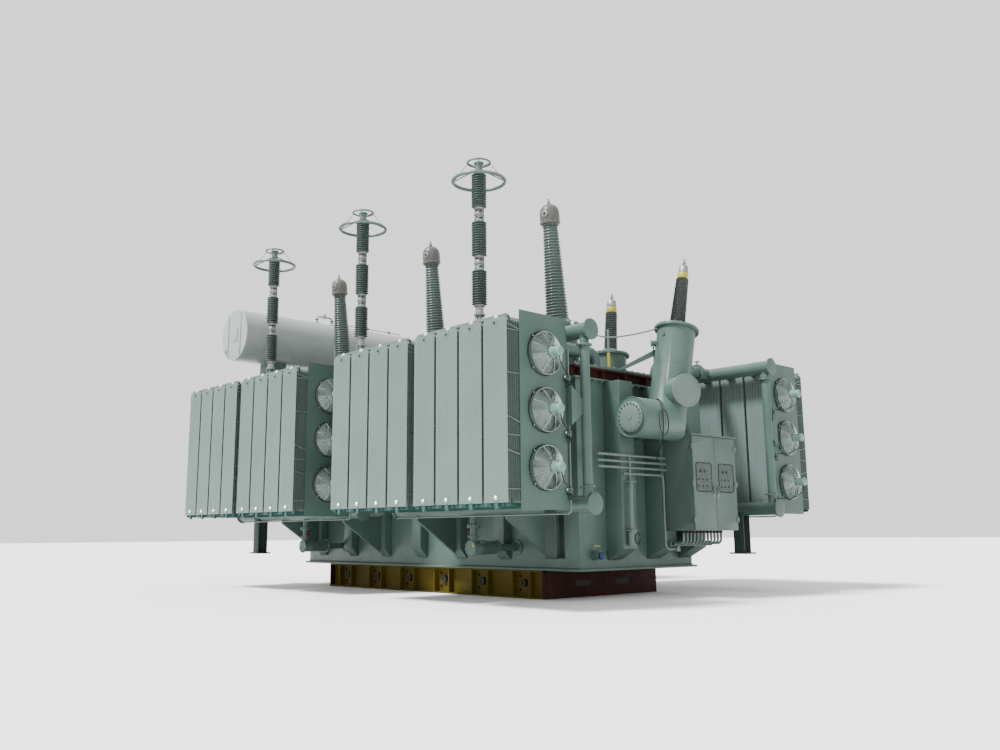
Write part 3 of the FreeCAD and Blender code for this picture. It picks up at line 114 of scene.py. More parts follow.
# ---- mesh building ------------------------------------------------------------------------------
class Shape:
    """A growing list of points and faces."""

    def __init__(self):
        self.verts, self.faces = [], []

    def add(self, verts, faces):
        """Take in points and the faces that join them."""
        n = len(self.verts)
        self.verts.extend(Vector(v) for v in verts)
        self.faces.extend(tuple(n + i for i in f) for f in faces)
        return self

    def join(self, other, matrix):
        """Take in a moved copy of another shape."""
        return self.add([matrix @ v for v in other.verts], other.faces)

    def box(self, lo, hi, b=0.004):
        """A box with chamfered edges."""
        lo, hi = [min(p) for p in zip(lo, hi)], [max(p) for p in zip(lo, hi)]
        b = min(b, 0.3 * min(h - l for l, h in zip(lo, hi)))
        verts, at = [], {}
        for c in range(8):
            s = [(c >> k) & 1 for k in range(3)]
            for a in range(3):
                at[c, a] = len(verts)
                verts.append([(hi[k] if s[k] else lo[k]) + (0 if k == a else (-b if s[k] else b))
                              for k in range(3)])
        faces = [(at[c, 0], at[c, 1], at[c, 2]) for c in range(8)]
        for a in range(3):
            u, w = (a + 1) % 3, (a + 2) % 3
            for side in (0, 1):
                base = side << a
                loop = [base, base | 1 << u, base | 1 << u | 1 << w, base | 1 << w]
                faces.append(tuple(at[c, a] for c in loop))
            for k in range(4):
                c = ((k & 1) << u) | ((k >> 1) << w)
                faces.append((at[c, u], at[c | 1 << a, u], at[c | 1 << a, w], at[c, w]))
        return self.add(verts, faces)

    def lathe(self, profile, base, axis, seg=32):
        """A profile of (radius, height) turned round an axis."""
        base, axis = Vector(base), Vector(axis).normalized()
        side = axis.orthogonal().normalized()
        other = axis.cross(side)
        verts, rings, faces = [], [], []
        for r, h in profile:
            centre = base + axis * h
            if r < 1e-6:
                rings.append([len(verts)] * seg)
                verts.append(centre)
                continue
            rings.append(list(range(len(verts), len(verts) + seg)))
            for k in range(seg):
                t = 2 * math.pi * k / seg
                verts.append(centre + side * (r * math.cos(t)) + other * (r * math.sin(t)))
        for a, b in zip(rings, rings[1:]):
            for k in range(seg):
                j = (k + 1) % seg
                quad = []
                for i in (a[k], a[j], b[j], b[k]):
                    if i not in quad:
                        quad.append(i)
                if len(quad) > 2:
                    faces.append(tuple(quad))
        return self.add(verts, faces)

    def flange(self, bore, radius, thick, base, axis, seg=32, rounding=0.003):
        """A round plate with broken edges; a bore of 0 leaves it whole."""
        lip = 0.004
        return self.lathe([(bore, 0), (radius - rounding, 0), (radius, lip), (radius, thick - lip),
                           (radius - rounding, thick), (bore, thick)], base, axis, seg)

    def rod(self, a, b, r, seg=16):
        """A round bar between two points."""
        a, b = Vector(a), Vector(b)
        length = (b - a).length
        return self.lathe([(0, 0), (r, 0), (r, length), (0, length)], a, b - a, seg)

    def torus(self, centre, axis, big, small, seg=40, ring=8):
        """A ring of round section."""
        turns = [2 * math.pi * k / ring for k in range(ring + 1)]
        return self.lathe([(big + small * math.cos(t), small * math.sin(t)) for t in turns], centre, axis,
                          seg)

    def tube(self, points, r, seg=8):
        """A round tube along a line of points, closed at both ends."""
        points = [Vector(p) for p in points]
        side = (points[1] - points[0]).orthogonal().normalized()
        verts, faces = [], []
        for i, p in enumerate(points):
            ahead = (points[min(i + 1, len(points) - 1)] - points[max(i - 1, 0)]).normalized()
            side = (side - ahead * side.dot(ahead)).normalized()
            other = ahead.cross(side)
            for k in range(seg):
                t = 2 * math.pi * k / seg
                verts.append(p + side * (r * math.cos(t)) + other * (r * math.sin(t)))
        for i in range(len(points) - 1):
            for k in range(seg):
                j = (k + 1) % seg
                faces.append((i * seg + k, i * seg + j, (i + 1) * seg + j, (i + 1) * seg + k))
        faces.append(tuple(range(seg)))
        faces.append(tuple(range(len(verts) - seg, len(verts))))
        return self.add(verts, faces)

    def prism(self, outline, sweep):
        """A flat outline pushed along a vector."""
        n = len(outline)
        sweep = Vector(sweep)
        verts = [Vector(p) for p in outline] + [Vector(p) + sweep for p in outline]
        faces = [tuple(range(n)), tuple(range(n, 2 * n))]
        faces += [(k, (k + 1) % n, n + (k + 1) % n, n + k) for k in range(n)]
        return self.add(verts, faces)

    def bolt(self, at, axis, s=0.024):
        """Washer, hexagon head and thread end."""
        return self.lathe([(0, 0), (0.62 * s, 0), (0.62 * s, 0.12 * s), (0.5 * s, 0.12 * s),
                           (0.5 * s, 0.62 * s),
                           (0.28 * s, 0.66 * s), (0.26 * s, 0.85 * s), (0, 0.85 * s)], at, axis, 6)

    def bolt_ring(self, centre, axis, radius, count, s):
        """Bolts evenly round a circle."""
        centre, axis = Vector(centre), Vector(axis).normalized()
        side = axis.orthogonal().normalized()
        for k in range(count):
            turned = Matrix.Rotation(2 * math.pi * k / count, 4, axis) @ side
            self.bolt(centre + turned * radius, axis, s)
        return self

    def in_quarters(self):
        """This shape with its mirror images in the other three quarters of the plan."""
        for k in range(2):
            flipped = [v.copy() for v in self.verts]
            for v in flipped:
                v[k] = -v[k]
            self.add(flipped, list(self.faces))
        return self


def spokes(count, first, second, start=0.0):
    """Unit vectors spread evenly round a circle in the plane of two axes, from an angle in degrees."""
    turns = [math.radians(start) + 2 * math.pi * k / count for k in range(count)]
    return [first * math.cos(t) + second * math.sin(t) for t in turns]


def smooth_line(points, steps):
    """Catmull-Rom line through the points."""
    p = [Vector(q) for q in points]
    p = [2 * p[0] - p[1]] + p + [2 * p[-1] - p[-2]]
    line = []
    for a, b, c, d in zip(p, p[1:], p[2:], p[3:]):
        for k in range(steps):
            t = k / steps
            line.append(0.5 * (2 * b + (c - a) * t + (2 * a - 5 * b + 4 * c - d) * t * t
                               + (3 * b - a - 3 * c + d) * t ** 3))
    return line + [p[-2]]


def bent(points, bend, steps=6):
    """Straight runs with round corners."""
    p = [Vector(q) for q in points]
    line = [p[0]]
    for a, b, c in zip(p, p[1:], p[2:]):
        back, on = (a - b).normalized(), (c - b).normalized()
        for k in range(steps + 1):
            t = k / steps
            line.append((b + back * bend) * (1 - t) ** 2 + b * 2 * t * (1 - t) + (b + on * bend) * t * t)
    return line + [p[-1]]


def place(name, shape, material, body=MAIN, node=None, angle=38):
    """Make the object, ride it on its body and hide the CAD node it stands for."""
    mesh = bpy.data.meshes.new(name)
    mesh.from_pydata([tuple(v) for v in shape.verts], [], shape.faces)
    work = bmesh.new()
    work.from_mesh(mesh)
    bmesh.ops.recalc_face_normals(work, faces=work.faces)
    work.to_mesh(mesh)
    work.free()
    mesh.shade_smooth()
    mesh.set_sharp_from_angle(angle=math.radians(angle))
    mesh.materials.append(material)
    obj = bpy.data.objects.new(name, mesh)
    bpy.context.scene.collection.objects.link(obj)
    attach(obj, body)
    if node:
        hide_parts(node)
    return obj


def refined(node, material, width, body=MAIN):
    """A copy of a CAD node with rounded edges, standing for it."""
    work = bmesh.new()
    work.from_mesh(NODES[node].data)
    bmesh.ops.remove_doubles(work, verts=work.verts, dist=1e-5)
    bmesh.ops.dissolve_limit(work, angle_limit=math.radians(0.6), verts=work.verts, edges=work.edges)
    sharp = [e for e in work.edges if len(e.link_faces) == 2 and e.calc_face_angle(0) > math.radians(50)]
    bmesh.ops.bevel(work, geom=sharp, offset=width, offset_type="OFFSET", segments=2, profile=0.6,
                    affect="EDGES", clamp_overlap=True)
    bmesh.ops.recalc_face_normals(work, faces=work.faces)
    mesh = bpy.data.meshes.new(node + "_body")
    work.to_mesh(mesh)
    work.free()
    mesh.shade_smooth()
    mesh.set_sharp_from_angle(angle=math.radians(35))
    mesh.materials.append(material)
    obj = bpy.data.objects.new(node + "_body", mesh)
    bpy.context.scene.collection.objects.link(obj)
    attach(obj, body)
    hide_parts(node)
    return obj


# ---- materials ----------------------------------------------------------------------------------
def surface(name, colour, rough=0.45, metal=0.0, vary=0.08, streak=0.0, dust=0.0,
            grime=(0.05, 0.045, 0.035), grain=160.0, bump=0.15, waves=0.0, speckle=None,
            coat=0.0, shine=0.22):
    """Painted, cast or glazed surface with cloudy colour, run-down streaks, settled dust and grain."""
    mat = bpy.data.materials.new(name)
    mat.use_nodes = True
    tree = mat.node_tree
    nodes, links = tree.nodes, tree.links
    shader = nodes["Principled BSDF"]
    shader.inputs["Metallic"].default_value = metal
    shader.inputs["Coat Weight"].default_value = coat
    shader.inputs["Specular IOR Level"].default_value = shine
    shader.inputs["Coat Roughness"].default_value = 0.12
    place_of = nodes.new("ShaderNodeTexCoord").outputs["Object"]

    def noise(scale, detail=4.0, roughness=0.55, stretch=None):
        node = nodes.new("ShaderNodeTexNoise")
        node.inputs["Scale"].default_value = scale
        node.inputs["Detail"].default_value = detail
        node.inputs["Roughness"].default_value = roughness
        if stretch:
            mapping = nodes.new("ShaderNodeMapping")
            mapping.inputs["Scale"].default_value = stretch
            links.new(place_of, mapping.inputs["Vector"])
            links.new(mapping.outputs["Vector"], node.inputs["Vector"])
        else:
            links.new(place_of, node.inputs["Vector"])
        return node.outputs["Fac"]

    def spread(value, low, high, to_low=0.0, to_high=1.0):
        node = nodes.new("ShaderNodeMapRange")
        for key, number in (("From Min", low), ("From Max", high), ("To Min", to_low), ("To Max", to_high)):
            node.inputs[key].default_value = number
        links.new(value, node.inputs["Value"])
        return node.outputs["Result"]

    def blend(factor, first, second, kind="MIX"):
        node = nodes.new("ShaderNodeMix")
        node.data_type = "RGBA"
        node.blend_type = kind
        for socket, value in ((node.inputs[0], factor), (node.inputs[6], first), (node.inputs[7], second)):
            if hasattr(value, "is_output"):
                links.new(value, socket)
            elif socket.type == "RGBA":
                socket.default_value = (*value[:3], 1)
            else:
                socket.default_value = value
        return node.outputs[2]

    def times(a, b):
        node = nodes.new("ShaderNodeMath")
        node.operation = "MULTIPLY"
        for socket, value in zip(node.inputs, (a, b)):
            if hasattr(value, "is_output"):
                links.new(value, socket)
            else:
                socket.default_value = value
        return node.outputs[0]

    clouds = noise(1.1, 6.0)
    tone = blend(spread(clouds, 0.3, 0.7), [c * (1 - vary) for c in colour],
                 [min(1, c * (1 + vary)) for c in colour])
    if speckle:
        tone = blend(spread(noise(55, 3.0), 0.52, 0.62), tone, speckle)
    if streak:
        runs = noise(3.0, 5.0, 0.6, (4.0, 4.0, 0.18))
        tone = blend(times(spread(runs, 0.56, 0.8), streak), tone, grime)
    fine = noise(38, 3.0)
    tone = blend(spread(fine, 0.35, 0.65, 0.0, 0.10), tone, grime)
    if dust:
        facing = nodes.new("ShaderNodeSeparateXYZ")
        links.new(nodes.new("ShaderNodeNewGeometry").outputs["Normal"], facing.inputs["Vector"])
        settled = times(spread(facing.outputs["Z"], 0.35, 0.95),
                        times(spread(clouds, 0.3, 0.6, 0.4, 1.0), dust))
        tone = blend(settled, tone, (0.24, 0.25, 0.22))
    links.new(tone, shader.inputs["Base Color"])
    links.new(spread(noise(7, 5.0), 0.3, 0.7, rough - 0.07, rough + 0.1), shader.inputs["Roughness"])
    height = noise(grain, 2.0)
    bumps = nodes.new("ShaderNodeBump")
    bumps.inputs["Strength"].default_value = bump
    bumps.inputs["Distance"].default_value = 0.0015
    links.new(height, bumps.inputs["Height"])
    if waves:
        broad = nodes.new("ShaderNodeBump")
        broad.inputs["Strength"].default_value = waves
        broad.inputs["Distance"].default_value = 0.01
        links.new(noise(2.2, 2.0), broad.inputs["Height"])
        links.new(broad.outputs["Normal"], bumps.inputs["Normal"])
    links.new(bumps.outputs["Normal"], shader.inputs["Normal"])
    return mat


def clear_glass(name):
    """Thin clear sheet."""
    mat = surface(name, (0.03, 0.045, 0.04), 0.08, vary=0.02, bump=0.02)
    shader = mat.node_tree.nodes["Principled BSDF"]
    shader.inputs["Alpha"].default_value = 0.25
    return mat


PAINT = surface("paint_grey_green", (0.048, 0.086, 0.073), 0.36, vary=0.12, streak=0.35, dust=0.22,
                waves=0.12)
FIN_PAINT = surface("paint_radiator", (0.092, 0.128, 0.118), 0.34, vary=0.07, streak=0.25, dust=0.2,
                    waves=0.10)
CABINET = surface("paint_cabinet", (0.056, 0.088, 0.078), 0.36, vary=0.06, streak=0.15, dust=0.2,
                  waves=0.05)
CONSERVATOR = surface("paint_conservator", (0.240, 0.270, 0.265), 0.3, vary=0.06, streak=0.18, dust=0.25,
                      waves=0.1)
LEG = surface("paint_leg", (0.024, 0.042, 0.036), 0.5, vary=0.15, streak=0.3, dust=0.15)
MOTOR = surface("paint_motor", (0.120, 0.215, 0.180), 0.32, vary=0.08, streak=0.15, dust=0.2)
YELLOW = surface("paint_yellow", (0.062, 0.046, 0.001), 0.55, vary=0.25, streak=0.3, dust=0.04, waves=0.1,
                 shine=0.1)
OXIDE = surface("paint_red_oxide", (0.026, 0.006, 0.004), 0.6, vary=0.25, streak=0.3, dust=0.05, shine=0.1)
HV_GLAZE = surface("glaze_grey", (0.062, 0.088, 0.080), 0.2, vary=0.1, dust=0.12, bump=0.03, coat=0.12)
MV_GLAZE = surface("glaze_brown_grey", (0.040, 0.049, 0.047), 0.2, vary=0.12, dust=0.12, bump=0.03,
                   coat=0.12)
SILICONE = surface("silicone_blue_grey", (0.040, 0.062, 0.058), 0.48, vary=0.08, dust=0.12, bump=0.1)
CAST = surface("cast_alloy", (0.240, 0.270, 0.260), 0.38, 0.7, vary=0.15, grain=60, bump=0.5,
               speckle=(0.04, 0.05, 0.045), dust=0.1)
DOME = surface("dome_enamel", (0.070, 0.074, 0.066), 0.32, vary=0.12, streak=0.3, dust=0.15)
RING = surface("ring_alloy", (0.080, 0.118, 0.110), 0.36, 0.2, vary=0.1, bump=0.1)
WIRE = surface("zinc_wire", (0.300, 0.370, 0.345), 0.2, 0.9, vary=0.25, grain=90, bump=0.1)
ZINC = surface("zinc_bolts", (0.200, 0.220, 0.210), 0.38, 0.8, vary=0.25, grain=90, bump=0.2)
BLADE = surface("blade_alloy", (0.045, 0.062, 0.057), 0.42, 0.3, vary=0.15, bump=0.1)
BLACK = surface("rubber_black", (0.008, 0.009, 0.009), 0.5, vary=0.25, bump=0.2)
TAPE = surface("band_yellow", (0.300, 0.270, 0.015), 0.42, vary=0.15, streak=0.25, bump=0.05)
BLUE = surface("cap_blue", (0.012, 0.022, 0.075), 0.4, vary=0.12, bump=0.05)
GREEN = surface("plug_green", (0.012, 0.07, 0.052), 0.42, vary=0.15, bump=0.05)
RED = surface("valve_red", (0.10, 0.008, 0.010), 0.42, vary=0.15, bump=0.05)
PALE = surface("dial_pale", (0.130, 0.170, 0.148), 0.45, vary=0.06, bump=0.02)
# near-black colour: painted shade in openings, recesses and shaded bays, and the door's dark dials
DARK = surface("shadow_dark", (0.012, 0.014, 0.012), 0.6, vary=0.2, bump=0.05)
STEEL = surface("bright_cap", (0.80, 0.85, 0.83), 0.2, 0.6, vary=0.08, bump=0.05)
TEAL = surface("frame_teal", (0.018, 0.066, 0.056), 0.4, vary=0.1, streak=0.2, bump=0.1)
GLASS = clear_glass("pane_clear")


def quarter_matrix(sx, sy):
    """Turns the +X, -Y quarter's coordinates into those of the quarter with these signs."""
    return Matrix.Diagonal((sx, -sy, 1, 1))


# ---- radiators ----------------------------------------------------------------------------------
def fin(pressed):
    """One hollow fin about x = 0, from y = 0 to its thickness; a pressed one has seven flutes a side.

    A level is (height, raised, fluted) and a place across is (x, raised, crest).
    """
    seam, half, groove, clip = 0.0014, FIN_T / 2, 0.0045, 0.04
    e = 0.03 if pressed else 0.02
    levels = [(FIN_LOW, 0, 0), (FIN_LOW + 0.012, 0, 0), (FIN_LOW + e, 1, 0), (FIN_HIGH - e - 0.012, 1, 0),
              (FIN_HIGH - 0.012, 0, 0), (FIN_HIGH, 0, 0)]
    if pressed:
        levels[3:3] = [(FIN_LOW + 0.13, 1, 0), (FIN_LOW + 0.15, 1, 1), (FIN_HIGH - 0.16, 1, 1),
                       (FIN_HIGH - 0.14, 1, 0)]
    across = [(-0.26, 0, 0), (-0.246, 0, 0), (-0.236, 1, 1)]
    if pressed:
        pitch = 2 * 0.236 / 7
        for k in range(1, 7):
            x = -0.236 + k * pitch
            across += [(x - 0.012, 1, 1), (x - 0.004, 1, 0), (x + 0.004, 1, 0), (x + 0.012, 1, 1)]
    across += [(0.236, 1, 1), (0.246, 0, 0), (0.26, 0, 0)]
    verts, faces = [], []
    n = len(across)
    for side in (-1, 1):
        for z, raised, fluted in levels:
            scale = 1 - max(0.0, z - (FIN_HIGH - clip)) / (FIN_W / 2)
            for x, thick, crest in across:
                y = seam
                if raised and thick:
                    y = half if (crest or not fluted) else half - groove
                verts.append((x * scale, half + side * y, z))
    m = len(levels)
    for side in (0, 1):
        o = side * n * m
        for i in range(m - 1):
            for k in range(n - 1):
                faces.append((o + i * n + k, o + i * n + k + 1, o + (i + 1) * n + k + 1, o + (i + 1) * n
                              + k))
    o = n * m
    for i in range(m - 1):
        faces.append((i * n, (i + 1) * n, o + (i + 1) * n, o + i * n))
        faces.append((i * n + n - 1, (i + 1) * n + n - 1, o + (i + 1) * n + n - 1, o + i * n + n - 1))
    for i in (0, m - 1):
        faces.extend((i * n + k, i * n + k + 1, o + i * n + k + 1, o + i * n + k) for k in range(n - 1))
    return Shape().add(verts, faces)


def add_neck_valve(valves, x, z):
    """Flanged valve between a radiator's neck and the header, with its lever."""
    for gap in (0.018, 0.05):
        valves.flange(0.046, 0.086, 0.018, (x, BANK_BACK + gap, z), Y, 20, 0.004)
    valves.bolt_ring((x, BANK_BACK + 0.068, z), Y, 0.07, 6, 0.015)
    stem = BANK_BACK + 0.043
    valves.rod((x, stem, z), (x, stem, z + 0.125), 0.008, 8)
    valves.box((x - 0.05, stem - 0.007, z + 0.118), (x + 0.012, stem + 0.007, z + 0.126), 0.002)


def add_struts(bars, edge, side):
    """Level and slanted strips welded down one side of a radiator."""
    level = edge - side * 0.003
    for z in (1.78, 2.573, 3.5, 4.16):
        bars.box((level - 0.004, BANK_FRONT + 0.004, z), (level + 0.003, BANK_BACK - 0.004, z + 0.014),
                 0.002)
    x, front, back, width = edge + side * 0.002 - 0.003, BANK_FRONT + 0.01, BANK_FRONT + 0.4, 0.016
    for high, low in ((4.26, 4.16), (2.86, 2.74), (2.36, 2.27)):
        bars.prism([(x, front, high), (x, front, high - width), (x, back, low - width), (x, back, low)],
                   (0.005, 0, 0))


def make_radiators():
    """Four banks of eight radiators, with their plugs, vents, drains, struts and neck valves."""
    plain, fluted = fin(False), fin(True)
    bank, plugs, caps, beads, bars, valves = (Shape() for _ in range(6))
    neck_low, neck_high = NECKS
    for start in RADIATORS:
        x = start + FIN_W / 2
        for k in range(FIN_COUNT):
            one = fluted if k in (0, FIN_COUNT - 1) else plain
            bank.join(one, Matrix.Translation((x, BANK_FRONT + k * FIN_PITCH, 0)))
        for z in NECKS:
            bank.rod((x, BANK_FRONT + 0.003, z), (x, BANK_BACK, z), 0.045, 20)
            bank.lathe([(0, 0), (0.07, 0), (0.07, 0.004), (0.05, 0.008), (0, 0.008)],
                       (x, BANK_FRONT + 0.001, z), -Y, 24)
            add_neck_valve(valves, x, z)
        bank.box((x - 0.016, BANK_FRONT + 0.10, FIN_HIGH - 0.005),
                 (x - 0.006, BANK_FRONT + 0.20, FIN_HIGH + 0.06))
        plugs.lathe([(0, 0), (0.024, 0), (0.024, 0.012), (0.018, 0.012), (0.018, 0.026), (0, 0.026)],
                    (x, BANK_FRONT, neck_high), -Y, 12)
        caps.lathe([(0, 0), (0.042, 0), (0.042, 0.014), (0.032, 0.02), (0.032, 0.045), (0.018, 0.058),
                    (0, 0.062)],
                   (x, BANK_FRONT + 0.045, FIN_HIGH - 0.002), UP, 20)
        beads.lathe([(0, 0), (0.032, 0), (0.032, 0.01), (0.024, 0.018), (0.013, 0.027), (0, 0.027)],
                    (x, BANK_FRONT, neck_low), -Y, 14)
        for side in (-1, 1):
            add_struts(bars, x + side * FIN_W / 2, side)
    for name, sx, sy in QUARTERS:
        turned = Shape().join(bank, quarter_matrix(sx, sy))
        place("radiator_fins_" + name, turned, FIN_PAINT, node="radiators_" + name,
              angle=25)
    place("radiator_plugs", plugs.in_quarters(), GREEN)
    place("radiator_caps", caps.in_quarters(), STEEL)
    place("radiator_drains", beads.in_quarters(), STEEL)
    place("radiator_struts", bars.in_quarters(), FIN_PAINT)
    place("radiator_valves", valves.in_quarters(), PAINT)


def make_tie_bars():
    """Angle bars over and under each batch, with slanted ends, clips and bolts."""
    bars, low, bolts = Shape(), Shape(), Shape()
    for b in range(2):
        x0 = BANK_INNER + b * BATCH_STEP
        x1 = x0 + BATCH
        for y in (BANK_FRONT + 0.045, BANK_BACK - 0.095):
            for z, s in ((FIN_HIGH, 1), (FIN_LOW, -1)):
                wall = [(x0, y, z), (x1, y, z), (x1, y, z + s * 0.02), (x1 - 0.03, y, z + s * 0.05),
                        (x0 + 0.03, y, z + s * 0.05), (x0, y, z + s * 0.02)]
                into = bars if s > 0 else low
                into.prism(wall, (0, 0.006, 0))
                into.box((x0, y, z), (x1, y + 0.05, z + s * 0.006), 0.001)
                for k in range(4):
                    x = x0 + FIN_W / 2 + k * RADIATOR_PITCH
                    for dx in (-0.12, 0.12):
                        bolts.bolt((x + dx, y + 0.028, z + s * 0.006), (0, 0, s), 0.02)
                        into.box((x + dx - 0.025, y + 0.006, z), (x + dx - 0.02, y + 0.05, z + s * 0.045),
                                 0.001)
        for k in range(4):
            x = x0 + FIN_W / 2 + k * RADIATOR_PITCH
            for dx in (-0.14, 0.13):
                low.box((x + dx, BANK_FRONT + 0.02, FIN_LOW - 0.05), (x + dx + 0.01, BANK_BACK, FIN_LOW),
                        0.001)
            low.box((x - 0.035, BANK_FRONT + 0.005, FIN_LOW - 0.09),
                    (x + 0.035, BANK_FRONT + 0.05, FIN_LOW), 0.004)
    place("tie_bars", bars.in_quarters(), FIN_PAINT, node="radiator_tie_bars")
    place("tie_bars_low", low.in_quarters(), TEAL)
    place("tie_bar_bolts", bolts.in_quarters(), ZINC)


# ---- headers and pipes --------------------------------------------------------------------------
def make_headers():
    """Weld beads, flanges, vents and bolts of the headers, link pipes and oil pipes."""
    bolts, beads, caps, pipe = (Shape() for _ in range(4))
    for z, neck in zip((HEADER_LOW, HEADER_HIGH), NECKS):
        for x, out in ((HEADER_END, 1), (HEADER_START, -1)):
            beads.torus((x - out * 0.03, HEADER_Y, z), X, HEADER_R + 0.002, 0.008, 36, 6)
            bolts.bolt_ring((x - out * 0.022, HEADER_Y, z), X * -out, 0.152, 12, 0.02)
        for x in RADIATORS:
            beads.torus((x + FIN_W / 2, HEADER_Y - HEADER_R + 0.012, neck), Y, 0.047, 0.007, 16, 5)
    for z, s in ((HEADER_LOW + HEADER_R, 1), (HEADER_HIGH - HEADER_R, -1)):
        beads.torus((LINK_X, HEADER_Y, z - s * 0.02), UP, 0.082, 0.009, 32, 6)
        beads.flange(0.08, 0.128, 0.024, (LINK_X, HEADER_Y, z + s * 0.12), UP, 28)
        bolts.bolt_ring((LINK_X, HEADER_Y, z + s * 0.12 + (0.024 if s > 0 else 0)), UP * s, 0.106, 10,
                        0.018)
    for x in (BANK_INNER + 0.3, 3.0, HEADER_END - 0.4):
        caps.lathe([(0, 0), (0.02, 0), (0.02, 0.03), (0.03, 0.03), (0.03, 0.045), (0.016, 0.06), (0, 0.06)],
                   (x, HEADER_Y, HEADER_HIGH + HEADER_R - 0.004), UP, 12)
    top = HEADER_HIGH + 0.026
    for y in (-2.30, -1.95):
        for gap in (0, 0.028):
            pipe.flange(0.112, 0.171, 0.024, (OIL_PIPE_X, y + gap, top), Y)
        bolts.bolt_ring((OIL_PIPE_X, y + 0.052, top), Y, 0.146, 12, 0.022)
        bolts.bolt_ring((OIL_PIPE_X, y, top), -Y, 0.146, 12, 0.022)
    bolts.bolt_ring((OIL_PIPE_X, -0.9, COVER_TOP + 0.028), UP, 0.127, 10, 0.02)
    pipe.rod((OIL_PIPE_X, -2.288, top + 0.11), (OIL_PIPE_X, -2.288, top + 0.23), 0.014, 10)
    pipe.torus((OIL_PIPE_X, -2.288, top + 0.225), UP, 0.06, 0.008, 24, 6)
    place("header_bolts", bolts.in_quarters(), ZINC)
    place("header_seams", beads.in_quarters(), PAINT)
    place("header_vents", caps.in_quarters(), STEEL)
    place("oil_pipe_flanges", pipe.in_quarters(), PAINT)


def make_pumps():
    """Oil pumps under the banks, with their pipes, tags and hand wheels."""
    pump, bolts, tags, dark = Shape(), Shape(), Shape(), Shape()
    x, z = 2.74, 0.9
    front, back, wall = -2.74, -2.12, -1.626
    pump.lathe([(0, 0), (0.135, 0), (0.14, 0.005), (0.14, 0.021), (0.135, 0.026), (0.112, 0.026),
                (0.112, 0.08), (0.118, 0.09),
                (0.118, 0.30), (0.112, 0.31), (0.112, 0.59), (0.14, 0.594), (0.14, 0.62), (0.062, 0.62)],
               (x, front, z), Y, 36)
    for out in spokes(12, X, UP):
        rib = Vector((x, front + 0.33, z)) + out * 0.108
        pump.tube([rib, rib + Y * 0.24], 0.008, 5)
    pump.rod((x, back - 0.001, z), (x, -TANK_Y, z), 0.062, 24)
    pump.lathe([(0.062, 0), (0.14, 0), (0.14, 0.026), (0.062, 0.026)], (x, wall, z), Y, 32)
    pump.rod((x, HEADER_Y, z), (x, HEADER_Y, HEADER_LOW - 0.1), 0.062, 24)
    pump.rod((x, HEADER_Y, 1.244), (x, HEADER_Y, 1.296), 0.115, 28)
    pump.rod((x, HEADER_Y, 1.08), (x, HEADER_Y, 1.104), 0.1, 28)
    pump.box((x + 0.06, front + 0.12, z + 0.07), (x + 0.13, front + 0.26, z + 0.135), 0.006)
    bolts.bolt_ring((x, front, z), -Y, 0.122, 10, 0.02)
    bolts.bolt_ring((x, wall, z), -Y, 0.11, 8, 0.02)
    bolts.bolt_ring((x, HEADER_Y, 1.296), UP, 0.094, 8, 0.018)
    bolts.bolt_ring((x, HEADER_Y, 1.104), UP, 0.084, 8, 0.016)
    tags.box((x + 0.05, front - 0.004, z + 0.02), (x + 0.1, front + 0.002, z + 0.06), 0.001)
    dark.torus((x - 0.1, HEADER_Y, 1.18), X, 0.05, 0.009, 24, 6)
    dark.rod((x - 0.06, HEADER_Y, 1.18), (x - 0.11, HEADER_Y, 1.18), 0.01, 8)
    place("pump_bodies", pump.in_quarters(), PAINT, node="oil_pumps")
    place("pump_bolts", bolts.in_quarters(), ZINC)
    place("pump_tags", tags.in_quarters(), TAPE)
    place("pump_hand_wheels", dark.in_quarters(), RED)


# ---- fans ---------------------------------------------------------------------------------------
def fan_centres():
    """Quarter's name, fan's number from the top, centre and side of each of the twelve fans."""
    centres = []
    for name, sx, sy in QUARTERS:
        panel = RIGHT_PANEL if sx > 0 else LEFT_PANEL
        for number in (1, 2, 3):
            centres.append((name, number, Vector((panel, sy * FAN_Y, FAN_Z + (2 - number) * FAN_PITCH)),
                            sy))
    return centres


def fan_wires():
    """Ring, closely spaced rings of wire on a cone, and straight ribs."""
    wires = Shape()
    wires.lathe([(0.325, 0), (0.34, 0), (0.34, 0.004), (0.337, 0.076), (0.34, 0.08), (0.328, 0.08),
                 (0.325, 0.076)],
                (0, 0, 0), X, 48)
    rings = 22
    for k in range(rings):
        t = (k + 0.5) / rings
        r = 0.332 * (1 - t) + 0.094 * t
        x = 0.082 + 0.098 * math.sin(t * math.pi / 2) ** 0.9
        wires.torus((x, 0, 0), X, r, 0.0026, 40, 4)
    wires.lathe([(0.081, 0.176), (0.094, 0.176), (0.094, 0.192), (0.081, 0.192)], (0, 0, 0), X, 32)
    for out in spokes(8, Y, UP, 22.5):
        line = []
        for i in range(7):
            u = i / 6
            r = 0.335 * (1 - u) + 0.092 * u
            line.append(out * r + X * (0.084 + 0.1 * math.sin(u * math.pi / 2) ** 0.9))
        wires.tube(line, 0.0055, 5)
    return wires


def fan_motor():
    """Motor with a domed end, cooling ribs and a connection box."""
    motor = Shape()
    start, end = NOSE, NOSE + MOTOR_LENGTH
    motor.lathe([(0, 0), (0.072, 0), (0.08, 0.006), (0.08, 0.05), (0.075, 0.054), (0.075, 0.15),
                 (0.08, 0.153), (0.08, 0.165),
                 (0.072, 0.183), (0.05, 0.195), (0.02, 0.1995), (0, 0.2)], (start, 0, 0), X, 36)
    for out in spokes(20, Y, UP):
        rib = X * (start + 0.056) + out * 0.0755
        motor.tube([rib, rib + X * 0.092], 0.0032, 4)
    motor.box((end - 0.085, -0.03, -0.082), (end - 0.02, 0.03, -0.06), 0.004)
    return motor


